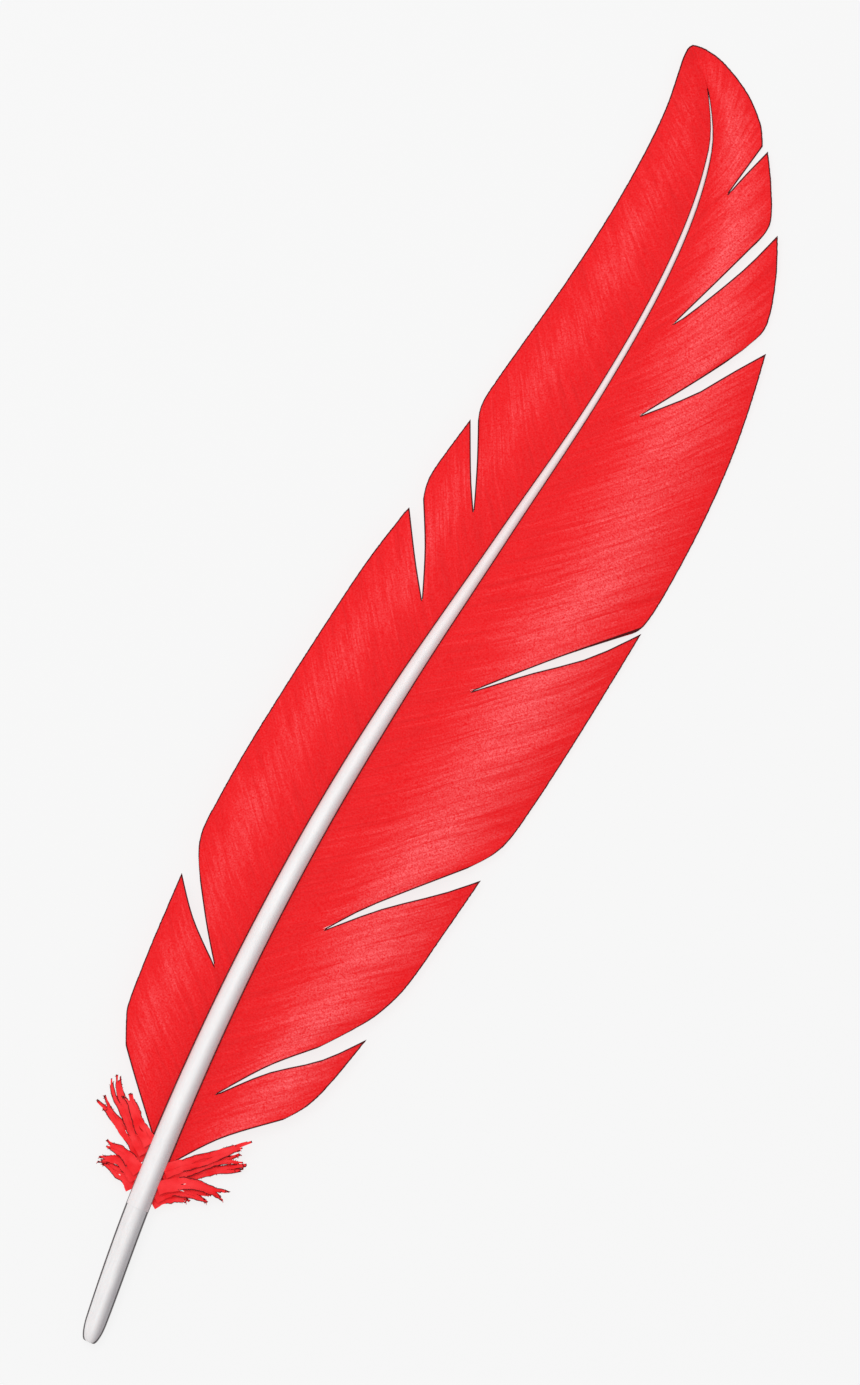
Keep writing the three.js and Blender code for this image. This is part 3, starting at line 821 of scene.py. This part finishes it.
class Group:
    """Barbs that cling together, between two splits.

    A place in it is (a, b): a runs from its low edge to its high edge, b from the shaft to the
    margin."""

    def __init__(self, line, shape, side, index):
        self.line = line
        self.sign = side["sign"]
        self.reach = shape.right_reach if self.sign > 0 else shape.left_reach
        self.droop = shape.right_droop if self.sign > 0 else shape.left_droop
        self.hump = shape.hump
        self.tip_curl = shape.tip_curl
        tip = {"lower": [VANE_TIP]}
        start = [side["base"], *side["splits"]][index]
        end = [*side["splits"], tip][index]
        self.root_from = line.along_vane(start["root"])
        self.root_to = line.along_vane(end["root"]) if "root" in end else line.end
        self.low, self.low_opens = self.edge(self.root_from, start.get("inner"), start["upper"])
        self.high, self.high_opens = self.edge(self.root_to, end.get("inner"), end["lower"])
        if end is tip:
            self.high_opens = 1.0
        margin = [self.low[-1], *map(self.on_side, side["margins"][index]), self.high[-1]]
        self.margin = spline(margin)

    def on_side(self, percents):
        """Where a place on this side lies in plan."""
        y = self.line.along_vane(percents[0])
        return np.array([self.line.sway(y) + self.sign * self.reach * percents[1] / 100, y])

    def root_y(self, a):
        return self.root_from + (self.root_to - self.root_from) * a

    def root(self, a):
        """Where a barb leaves the side of the shaft, in plan."""
        y = self.root_y(a)
        x = self.line.sway(y) + self.sign * (self.line.radius(y) - ROOT_IN_SHAFT)
        return np.stack([x, y], -1)

    def edge(self, root_y, inner, outer):
        """One long edge, and the share of it where the split opens, which is 0 for a free edge.

        It is straight from the shaft to the split's inner end, and a smooth bend from there."""
        start = self.root((root_y - self.root_from) / (self.root_to - self.root_from))
        bends = [self.on_side(place) for place in outer]
        if inner is None:
            return spline([start, *bends]), 0.0
        opening = self.on_side(inner)
        edge = np.vstack([[start], spline([opening, *bends])])
        return edge, np.linalg.norm(opening - start) / lengths_along(edge)[-1]

    def beside_edge(self, edge, opens, b, places):
        """Distance in plan from the free stretch of an edge, for places near it."""
        near = along(edge, b)
        forward = unit(along(edge, np.clip(b + 0.01, 0, 1)) - along(edge, np.clip(b - 0.01, 0, 1)))
        offset = places[..., :2] - near
        distance = np.abs(offset[..., 0] * forward[..., 1] - offset[..., 1] * forward[..., 0])
        return np.where(b > opens - AT_OPENING, distance, FAR * MM)

    def plan(self, a, b):
        """Where a place in the group lies in plan."""
        low, high = along(self.low, b), along(self.high, b)
        root, margin = self.root(a), along(self.margin, a)
        a, b = a[..., None], b[..., None]
        ruled = (1 - b) * root + b * margin + (1 - a) * low + a * high
        corners = (1 - a) * ((1 - b) * self.root(0.0) + b * self.low[-1])
        return ruled - corners - a * ((1 - b) * self.root(1.0) + b * self.high[-1])

    def place(self, a, b):
        """Where a place in the group lies: over its plan, on the humped and drooping vane."""
        x, y = np.moveaxis(self.plan(a, b), -1, 0)
        beside = np.minimum(y, self.line.length)
        out = np.abs(x - self.line.sway(beside)) - self.line.radius(beside)
        share = np.clip(out / self.reach, 0, 1)
        height = self.line.rise(beside) + self.hump * np.sin(np.pi * share) - self.droop * share**2
        height += self.tip_curl * a**4 * b**3 + swell(self.root_y(a)) * b
        return self.line.place(x, y, height)

    def barb_count(self, pitch):
        """Barbs in the group: their mean pitch is between the shaft's and the margin's."""
        along_margin = lengths_along(self.margin)[-1]
        return max(8, round((self.root_to - self.root_from + along_margin) / 2 / pitch))


SWELLS = ((9.5 * MM, 0.05 * MM, 0.4), (14 * MM, 0.08 * MM, 2.1), (27 * MM, 0.14 * MM, 4.4))


def swell(y):
    """Gentle waves that run along the barbs: each has a length, a height and a start."""
    return sum(height * np.sin(2 * np.pi * y / length + start) for length, height, start in SWELLS)


# Stations along a barb: these many mm from the shaft, evenly between, and these many mm from its tip.
ROOT_STATIONS = (0, 0.8, 2.4)
EVEN_STATIONS = 8
TIP_STATIONS = (2.4, 1.1, 0.45, 0.12, 0)
TIP_SLANTS = (0, 0.5, 1, 1, 1)  # how far each of those sections turns to lie along the margin
STEEPEST_SLANT = 2.5
BARB_SHINGLE = math.radians(5)  # each barb's upper edge lies on the next barb
BARB_TWIST = math.radians(3)  # chance lean of one barb
BARB_STRAY = 0.12  # chance sideways shift, over the pitch
TIP_STRAY = 0.05 * MM  # chance difference in length
FREE_HALF_WIDTH = 0.5  # half width over the pitch, where nothing lies beside a barb
MARGIN_DEPTH_SHARE = 0.25  # how deep the keel still is at the margin
FLOOR_CLEARANCE = 0.05 * MM
FAR = 9.0  # mm; stands for "no edge near"
AT_OPENING = 0.001  # a place this little before a split's opening, as a share, counts as open
ON_MIDDLE = 0.1  # a straight shape's vertices this near its middle, in half widths, lie on it
SHAFT_SHADE_THINNER = 0.12  # mm that the painted contact shadow beside the shaft is thinner than the painted edge shade at the free edges


def barb_shape():
    """One straight barb: a blade with a ridge on its back and a keel below, and a blunt tip.

    Its y counts stations, its x half widths, and its z half depths."""
    full = len(ROOT_STATIONS) + EVEN_STATIONS + len(TIP_STATIONS) - 3
    widths = [0.7, *([1.0] * full), 0.95, 0.8]
    return take_shape(close_piece(extrude_rings("barb", 4, list(enumerate(widths)))))


def stations_of(shape):
    """Which station each vertex of a straight shape lies at."""
    return np.rint(shape[0][:, 1]).astype(int)


def square_to(forward, vectors):
    """What is left of vectors beside the forward direction."""
    return vectors - (vectors * forward).sum(-1, keepdims=True) * forward


def lay_copies(shape, lines, side, half_width, back, keel):
    """Lays copies of a straight shape along lines: one line, in stations, for each copy.

    The shape's x runs along side, and its z stands up from the line."""
    co = shape[0]
    station = stations_of(shape)
    forward = unit(np.gradient(lines, axis=1))
    normal = unit(np.cross(side, forward))
    across = co[:, 0] * half_width[:, station]
    height = np.where(co[:, 2] > 0, back[:, station], keel[:, station]) * co[:, 2]
    return (
        lines[:, station]
        + side[:, station] * across[..., None]
        + normal[:, station] * height[..., None]
    )


def barb_stations(length):
    """Shares of each barb's length at its stations. The first and last are close together."""
    first = np.array(ROOT_STATIONS)[None] * MM / length
    last = 1 - np.array(TIP_STATIONS)[None] * MM / length
    even = np.linspace(0, 1, EVEN_STATIONS + 2)[None, 1:-1]
    between = first[:, -1:] + (last[:, :1] - first[:, -1:]) * even
    return np.concatenate([first, between, last], 1)


def places_in_group(group, detail, rng):
    """Where the stations of every barb lie in the group, as (a, b), and how long each barb is."""
    barbs = group.barb_count(detail.barb_pitch)
    a = ((np.arange(barbs) + 0.5) / barbs)[:, None]
    shares = np.linspace(0, 1, 12)[None]  # close enough together to measure a barb
    length = lengths_of(group.place(a + 0 * shares, shares + 0 * a))
    b = barb_stations(length)
    # The first and last barb have a station just where the split beside them opens.
    for barb, opens in ((0, group.low_opens), (-1, group.high_opens)):
        b[barb, np.abs(b[barb] - opens).argmin()] = opens
    b *= 1 + chance(rng, barbs) * TIP_STRAY / length
    return a + 0 * b, b, length


def lay_barbs(group, a, b, detail, shape, rng):
    """Lays a group's barbs like shingles. Returns the places of their vertices, and their slants.

    A slant is how far a barb's sections lean along it, to lie along the margin at its tip."""
    middle = group.place(a, np.clip(b, 0, 1))
    half_pitch = 0.5 / len(b)
    onward = group.place(a + half_pitch, b) - group.place(a - half_pitch, b)
    forward = unit(np.gradient(middle, axis=1))
    upward = square_to(forward, onward)
    pitch = np.linalg.norm(upward, axis=-1)
    upward = unit(upward)
    slant = np.clip((onward * forward).sum(-1) / pitch, -STEEPEST_SLANT, STEEPEST_SLANT)
    slants = np.concatenate([np.zeros(b.shape[1] - len(TIP_SLANTS)), TIP_SLANTS])
    out_of_vane = np.cross(forward, upward) * group.sign
    stray = chance(rng, len(b)) * BARB_STRAY
    stray[[0, -1]] = 0
    middle = middle + upward * (stray * pitch)[..., None]
    lean = BARB_SHINGLE + BARB_TWIST * chance(rng, len(b)) + 0 * b
    tilted = upward * np.cos(lean)[..., None] + out_of_vane * np.sin(lean)[..., None]
    tilted += forward * (slant * slants)[..., None]
    half_width = detail.barb_overlap / 2 * pitch
    keel = detail.barb_depth * (1 - (1 - MARGIN_DEPTH_SHARE) * b)
    back = detail.barb_back + 0 * b
    places = lay_copies(shape, middle, -group.sign * tilted, half_width, back, keel)

    # Nothing lies beside the first and last barb's free side, so that side is narrower.
    station = stations_of(shape)
    narrower = 1 - FREE_HALF_WIDTH / (detail.barb_overlap / 2)
    for barb, free_side, opens in ((0, -1, group.low_opens), (-1, 1, group.high_opens)):
        is_free = b[barb, station] > opens - AT_OPENING
        outer = tipward(group, shape) * free_side > ON_MIDDLE
        shift = np.where(is_free & outer, narrower * half_width[barb, station] * free_side, 0)
        places[barb] -= tilted[barb, station] * shift[:, None]
    return places, slant


def tipward(group, shape):
    """-1 on the edge of a barb towards the quill, 1 on its edge towards the feather's tip."""
    return -group.sign * shape[0][:, 0]


def from_free_edges(group, b, length, slant, places, station):
    """How many mm each vertex is from the nearest margin, split or side of the shaft, in plan."""
    line = group.line
    share = np.clip(b, 0, 1)
    from_butt = places - np.array([BUTT_X, BUTT_Y, 0])
    from_low = group.beside_edge(group.low, group.low_opens, share[:, station], from_butt) / MM
    from_high = group.beside_edge(group.high, group.high_opens, share[:, station], from_butt) / MM
    square_to_margin = 1 / np.hypot(1, slant[:, -1:])
    from_tip = ((1 - share) * length * square_to_margin / MM)[:, station]
    x, y, _ = np.moveaxis(from_butt, -1, 0)
    beside = (np.abs(x - line.sway(y)) - line.radius(y)) / MM + SHAFT_SHADE_THINNER
    from_shaft = np.where(y < line.end, beside, FAR)
    return np.minimum.reduce([from_low, from_high, from_tip, from_shaft])


def trim_values(from_edge, mm_along, rng):
    """What each vertex keeps as "trim": mm from a free edge, mm along, and its copy's chance number."""
    luck = rng.random((len(from_edge), 1)) + 0 * from_edge
    return {"trim": np.stack([from_edge, mm_along, luck], -1)}


def make_barbs(name, group, detail, shape, rng):
    """One group of barbs. Returns the piece.

    Each vertex keeps, as "barb", its share of the barb's length, the mm from the butt to the barb's
    root, and how far it is to the tip's side."""
    a, b, length = places_in_group(group, detail, rng)
    places, slant = lay_barbs(group, a, b, detail, shape, rng)
    station = stations_of(shape)
    from_edge = from_free_edges(group, b, length, slant, places, station)
    places[..., 2] = np.maximum(places[..., 2], FLOOR_CLEARANCE)
    root_y = (group.root_y(a) / MM)[:, station]
    across = tipward(group, shape) + 0 * from_edge
    values = trim_values(from_edge, (b * length / MM)[:, station], rng)
    values["barb"] = np.stack([b[:, station], root_y, across], -1)
    return piece_of_copies(name, [(shape[1], places, values)])


def make_vanes(line, shape, detail, materials):
    """Both vanes. The left one has its own material, and so has the right one."""
    barb = barb_shape()
    for side, material in zip((LEFT_SIDE, RIGHT_SIDE), materials):
        for index in range(len(side["margins"])):
            number_from_quill = index + 1
            name = f"{side['word']}_{number_from_quill}"
            rng = np.random.default_rng(number_from_quill * side["sign"] + 100)
            group = Group(line, shape, side, index)
            piece = make_barbs("barbs_" + name, group, detail, barb, rng)
            finish_piece(piece, "vane_" + name, material)


# ---- Down ----

DOWN_WIDTH = 2.2 * MM
DOWN_THICKNESS = 0.5 * MM
DOWN_DROOP = 1.2 * MM
DOWN_LAYERS = 3  # neighbouring wisps grow from the shaft at different heights
STRAND_STATIONS = 18
STRAND_SHORTER = 0.17  # how much shorter than the wisp a strand may be, over the wisp's length
STRAND_HALF_WIDTH = 0.38 * MM
STRAND_HALF_DEPTH = 0.08 * MM
STRAND_WAVE = 0.1 * MM
RAGGED = (0.7, 0.6)  # least width of a strand over its full one, and the chance part above that
WISP_WAVE = 0.45 * MM
WISP_TURNS = (0.8, 1.6)  # waves along a wisp
# A wisp's half width over its full one: shares of its length, and the widths there.
WISP_OPENING = ((0, 0.3, 0.65, 1), (1.15, 0.95, 0.75, 0.42))
FREE_FROM = 0.25  # share of a wisp's length past which its sides are free of its neighbours
FORK_START = (0.6, 0.85)
FORK_GAP = 0.9 * MM  # between the two points of a forked wisp
HOOK_FROM = 0.72  # share of its length where the end of a wisp turns aside
HOOK = 0.9 * MM
SLIT_PLACE = (0.3, 0.5)
SLIT_LENGTH = 0.09
SLIT_HALF_GAP = 0.4 * MM
NEVER = 9.0  # a share of the length that is never reached
BARBULE_STATIONS = 4
BARBULE_HALF_WIDTH = 0.15 * MM
BARBULE_TAPER = 0.7  # how much slimmer a barbule is at its tip
BARBULE_LEANS = (math.radians(20), math.radians(75))  # between the barbule and its strand
BARBULE_SIZES = (0.3, 1.15)  # the shortest and the longest, over the barbules' length
BARBULE_LIFT, BARBULE_CURL = 0.5, 0.9  # chance rise and sideways curl, over its length


def wisp_line(line, side, wisp, index, b):
    """The middle of a wisp: from the side of the shaft, round its bend, to its tip."""
    root_y = line.along_vane(wisp["root"])
    root_x = line.sway(root_y) + side["sign"] * (line.radius(root_y) - ROOT_IN_SHAFT)
    root = np.array([root_x, root_y])
    outward = np.array([side["sign"], 1])
    bend = root + outward * wisp["bend"] * MM
    tip = root + outward * wisp["tip"] * MM
    k = b[..., None]
    x, y = np.moveaxis((1 - k) ** 2 * root + 2 * k * (1 - k) * bend + k**2 * tip, -1, 0)
    layer = index % DOWN_LAYERS - (DOWN_LAYERS - 1) / 2
    height = line.rise(root_y) + layer * (DOWN_THICKNESS + CLEARANCE) - DOWN_DROOP * b**2
    return line.place(x, y, height)


def wisp_partings(strands, rng):
    """Where each strand comes free on its two sides, where the wisp forks, and beside which strand.

    The first two are shares of the wisp's length."""
    fork = rng.uniform(*FORK_START)
    beside_fork = int(rng.integers(strands // 3, strands - strands // 3))
    free_from = np.full((strands, 2), NEVER)
    free_from[0, 0] = free_from[-1, 1] = FREE_FROM
    free_from[beside_fork - 1, 1] = free_from[beside_fork, 0] = fork
    return free_from, fork, beside_fork


def aside_of_middle(b, strands, fork, beside_fork, width, rng):
    """How far each strand lies from its wisp's middle, at shares of the wisp's length."""
    place = np.linspace(-1, 1, strands)[:, None]
    after_fork = np.where(np.arange(strands)[:, None] < beside_fork, -1, 1)
    spread = place * np.interp(b, *WISP_OPENING) * width / 2
    spread += after_fork * FORK_GAP / 2 * np.clip((b - fork) / (1 - fork), 0, 1) ** 0.8
    slit = (b - rng.uniform(*SLIT_PLACE)) / SLIT_LENGTH
    slit_side = np.where(place < rng.uniform(-0.5, 0.5), -1, 1)
    spread += slit_side * SLIT_HALF_GAP * np.exp(-(slit**2)) * (1 - np.abs(place) / 2)
    turns, start = rng.uniform(*WISP_TURNS), rng.random()
    spread += np.sin(2 * np.pi * (b * turns + start)) * WISP_WAVE * b
    hooked = np.clip((b - HOOK_FROM) / (1 - HOOK_FROM), 0, 1) ** 2
    spread += hooked * HOOK * np.where(after_fork > 0, rng.uniform(-1, 1), rng.uniform(-1, 1))
    own_turns = 1 + 2 * rng.random((strands, 1))
    own_start = rng.random((strands, 1))
    return spread + np.sin(2 * np.pi * (b * own_turns + own_start)) * STRAND_WAVE * b


def lay_strands(line, side, index, detail, shape, rng):
    """A wisp's strands. They lie close, part at a slit and at a fork, and run out to ragged points."""
    strands = detail.strands
    wisp = side["down"][index]
    free_from, fork, beside_fork = wisp_partings(strands, rng)
    share = np.linspace(0, 1, STRAND_STATIONS)[None]
    b = share * (1 - STRAND_SHORTER * rng.random((strands, 1)))
    middle = wisp_line(line, side, wisp, index, b)
    forward = unit(np.gradient(middle, axis=1))
    aside = np.stack([forward[..., 1], -forward[..., 0], 0 * b], -1)
    spread = aside_of_middle(b, strands, fork, beside_fork, wisp["width"] * DOWN_WIDTH, rng)
    middle = middle + aside * spread[..., None]
    middle[..., 2] += chance(rng, strands) / 2 * DOWN_THICKNESS * (0.4 + b)
    ragged = RAGGED[0] + RAGGED[1] * rng.random(b.shape)
    taper = np.clip(1.25 - share**6, 0.6, 1)
    half_width = STRAND_HALF_WIDTH * taper * ragged
    half_depth = STRAND_HALF_DEPTH * taper + 0 * b
    places = lay_copies(shape, middle, aside, half_width, half_depth, half_depth)

    across = shape[0][:, 0]
    station = stations_of(shape)
    length = lengths_of(middle)
    from_tip = ((1 - share) * length)[:, station] / MM
    inward = ((1 - np.abs(across)) * half_width[:, station]) / MM
    hand_free = np.where(across < -ON_MIDDLE, free_from[:, :1], free_from[:, 1:])
    either = free_from.min(1, keepdims=True)
    hand_free = np.where(np.abs(across) < ON_MIDDLE, either, hand_free)
    from_side = np.where(b[:, station] > hand_free, inward, FAR)
    values = trim_values(np.minimum(from_tip, from_side), (share * length)[:, station] / MM, rng)
    return middle, aside, b, free_from, (shape[1], places, values)


def lay_barbules(middle, aside, b, free_from, detail, shape, rng):
    """Short barbules on the free sides of each strand, which make its edge ragged."""
    forward = unit(np.gradient(middle, axis=1))
    starts, ways, sizes = [], [], []
    for strand, line in enumerate(middle):
        lengths = lengths_along(line)
        for at in np.arange(0, lengths[-1], detail.barbule_pitch):
            at += rng.random() * detail.barbule_pitch
            before = min(int(np.searchsorted(lengths, at)), len(lengths) - 1)
            start = [np.interp(at, lengths, column) for column in line.T]
            for hand, free in zip((-1, 1), free_from[strand]):
                lean = rng.uniform(*BARBULE_LEANS)
                size = rng.uniform(*BARBULE_SIZES) * detail.barbule_length
                if b[strand, before] < free:
                    continue
                starts.append(start)
                sizes.append(size)
                on = forward[strand, before] * math.cos(lean)
                ways.append(on + aside[strand, before] * hand * math.sin(lean))
    starts, ways, sizes = np.array(starts), np.array(ways), np.array(sizes)[:, None]
    share = np.linspace(0, 1, BARBULE_STATIONS)[None]
    own = chance(rng, len(sizes)) / 2
    way = unit(ways + np.array([0, 0, BARBULE_LIFT]) * own)[:, None]
    across = unit(np.cross(way, [0, 0, 1.0]))
    curl = across * own[:, None] * BARBULE_CURL
    lines = starts[:, None] + (way * share[..., None] + curl * share[..., None] ** 2) * sizes[..., None]
    half = BARBULE_HALF_WIDTH * (1 - BARBULE_TAPER * share) + 0 * sizes
    places = lay_copies(shape, lines, across + 0 * lines, half, half, half)

    mm_along = (share * sizes / MM)[:, stations_of(shape)]
    return shape[1], places, trim_values(sizes / MM - mm_along, mm_along, rng)


def make_wisp(name, line, side, index, detail, shapes, rng):
    """One wisp of down: its strands and their barbules, kept off the floor. Returns the piece."""
    middle, aside, b, free_from, strands = lay_strands(line, side, index, detail, shapes[0], rng)
    barbules = lay_barbules(middle, aside, b, free_from, detail, shapes[1], rng)
    for _, places, _ in (strands, barbules):
        places[..., 2] = np.maximum(places[..., 2], FLOOR_CLEARANCE)
    return piece_of_copies(name, [strands, barbules])


def straight_hair(name, sides, stations):
    """A straight strand or barbule of even thickness. Its y counts stations."""
    return take_shape(close_piece(extrude_rings(name, sides, [(y, 1.0) for y in range(stations)])))


def make_down(line, detail, material):
    """Every wisp of down on both sides."""
    strand = straight_hair("strand", 4, STRAND_STATIONS)
    barbule = straight_hair("barbule", 3, BARBULE_STATIONS)
    for side in (LEFT_SIDE, RIGHT_SIDE):
        for index in range(len(side["down"])):
            name = f"{side['word']}_{index + 1}"
            rng = np.random.default_rng((index + 1) * side["sign"] + 200)
            piece = make_wisp("wisp_" + name, line, side, index, detail, (strand, barbule), rng)
            finish_piece(piece, "down_" + name, material)


# ---- Stage ----

KEY_DISTANCE = 1.3
KEY_SIZE = 0.9
KEY_LEFT, KEY_UP, KEY_ABOVE = 0.15, 0.2, 1.0  # the light's way from the feather


def make_stage(shape, stage, colours):
    """Camera straight above, a pale floor, even daylight and one large soft light."""
    scene = bpy.context.scene
    scene.view_settings.view_transform = "Standard"
    view_x = BUTT_X + stage.view_right
    view_y = BUTT_Y + stage.view_on

    camera = bpy.data.cameras.new("camera")
    camera.sensor_width = 36
    camera.lens = camera.sensor_width * (stage.camera_height - shape.arch_rise) / stage.view_height
    camera.clip_end = 100
    eye = bpy.data.objects.new("camera", camera)
    eye.location = (view_x, view_y, stage.camera_height)
    eye.rotation_euler = (0, 0, stage.turn)
    scene.collection.objects.link(eye)
    scene.camera = eye

    select_only()
    bpy.ops.mesh.primitive_plane_add(size=stage.floor_size)
    floor = bpy.context.object
    floor.name = floor.data.name = "floor"
    floor.data.materials.append(light_table(colours, stage.floor_glow))

    world = bpy.data.worlds.new("daylight")
    world.use_nodes = True
    sky = world.node_tree.nodes["Background"]
    sky.inputs["Color"].default_value = (1, 1, 1, 1)
    sky.inputs["Strength"].default_value = stage.daylight
    scene.world = world

    lamp = bpy.data.lights.new("key", "AREA")
    lamp.shape = "DISK"
    lamp.size = KEY_SIZE
    lamp.energy = stage.key_power
    key = bpy.data.objects.new("key", lamp)
    left = np.array([-math.cos(stage.turn), -math.sin(stage.turn), 0])
    up = np.array([-math.sin(stage.turn), math.cos(stage.turn), 0])
    target = np.array([view_x, view_y, 0])
    way = unit(KEY_LEFT * left + KEY_UP * up + KEY_ABOVE * np.array([0, 0, 1]))
    key.location = target + KEY_DISTANCE * way
    key.rotation_euler = Vector(way).to_track_quat("Z", "Y").to_euler()
    key.visible_camera = False
    scene.collection.objects.link(key)


# ---- Add-on ----


class FEATHER_OT_make_stage(bpy.types.Operator):
    """Make the camera, the floor and the lights"""

    bl_idname = "feather.make_stage"
    bl_label = "Make the stage"

    def execute(self, context):
        scene = context.scene
        make_stage(scene.feather_shape, scene.feather_stage, scene.feather_colours)
        return {"FINISHED"}


class FEATHER_OT_make_shaft(bpy.types.Operator):
    """Make the bare quill and the shaft"""

    bl_idname = "feather.make_shaft"
    bl_label = "Make the quill and shaft"

    def execute(self, context):
        detail = context.scene.feather_detail
        colours = context.scene.feather_colours
        line = ShaftLine(context.scene.feather_shape)
        quill_horn = horn(colours, "quill_horn", shade_share=1.0, dye_share=0.1, edge_shade_height=0.55)
        shaft_horn = horn(colours, "shaft_horn", shade_share=0.5, dye_share=0.5, edge_shade_height=0.36)
        make_quill(line, detail, quill_horn)
        make_shaft(line, detail, shaft_horn)
        return {"FINISHED"}


class FEATHER_OT_finish_inside(bpy.types.Operator):
    """Give the pith and the caps inside the quill their material"""

    bl_idname = "feather.finish_inside"
    bl_label = "Finish the inside"

    def execute(self, context):
        colours = context.scene.feather_colours
        finishes = {
            "rachis_pith": dry_tissue("dry_pith", tuple(colours.pith), cell=0.12 * MM),
            "pulp_cap": dry_tissue("dry_pulp_membrane", tuple(colours.membrane), cell=0.3 * MM),
        }
        for name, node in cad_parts.items():
            for start, material in finishes.items():
                if name.startswith(start):
                    node.data.materials.clear()
                    node.data.materials.append(material)
        return {"FINISHED"}


class FEATHER_OT_make_vanes(bpy.types.Operator):
    """Make both vanes, barb by barb"""

    bl_idname = "feather.make_vanes"
    bl_label = "Make the vanes"

    def execute(self, context):
        scene = context.scene
        # The right vane gets more of the painted light over the middle of its barbs than the narrow
        # left one.
        materials = (
            dyed_barbs(scene.feather_colours, "dyed_keratin_left", painted_light_strength=0.36),
            dyed_barbs(scene.feather_colours, "dyed_keratin_right", painted_light_strength=0.83),
        )
        make_vanes(ShaftLine(scene.feather_shape), scene.feather_shape, scene.feather_detail, materials)
        return {"FINISHED"}


class FEATHER_OT_make_down(bpy.types.Operator):
    """Make the wisps of down at the foot of the vanes"""

    bl_idname = "feather.make_down"
    bl_label = "Make the down"

    def execute(self, context):
        scene = context.scene
        material = dyed_down(scene.feather_colours)
        make_down(ShaftLine(scene.feather_shape), scene.feather_detail, material)
        return {"FINISHED"}


class FEATHER_PT_panel(bpy.types.Panel):
    """Lists the feather's sizes, colours and steps"""

    bl_label = "Feather"
    bl_idname = "FEATHER_PT_panel"
    bl_space_type = "VIEW_3D"
    bl_region_type = "UI"
    bl_category = "Feather"

    def draw(self, context):
        for name in GROUPS:
            group = getattr(context.scene, name)
            box = self.layout.box()
            for field in group.__annotations__:
                box.prop(group, field)
        for operator in OPERATORS:
            self.layout.operator(operator.bl_idname)


OPERATORS = (
    FEATHER_OT_make_stage,
    FEATHER_OT_make_shaft,
    FEATHER_OT_finish_inside,
    FEATHER_OT_make_vanes,
    FEATHER_OT_make_down,
)
GROUPS = {
    "feather_shape": FeatherShape,
    "feather_detail": FeatherDetail,
    "feather_colours": FeatherColours,
    "feather_stage": FeatherStage,
}


def register():
    for cls in (*GROUPS.values(), *OPERATORS, FEATHER_PT_panel):
        bpy.utils.register_class(cls)
    for name, group in GROUPS.items():
        setattr(bpy.types.Scene, name, bpy.props.PointerProperty(type=group))


def unregister():
    for name in GROUPS:
        delattr(bpy.types.Scene, name)
    for cls in (FEATHER_PT_panel, *OPERATORS, *GROUPS.values()):
        bpy.utils.unregister_class(cls)


def main():
    register()
    bpy.ops.feather.make_stage()
    bpy.ops.feather.make_shaft()
    bpy.ops.feather.finish_inside()
    bpy.ops.feather.make_vanes()
    bpy.ops.feather.make_down()


if __name__ == "__main__":
    main()
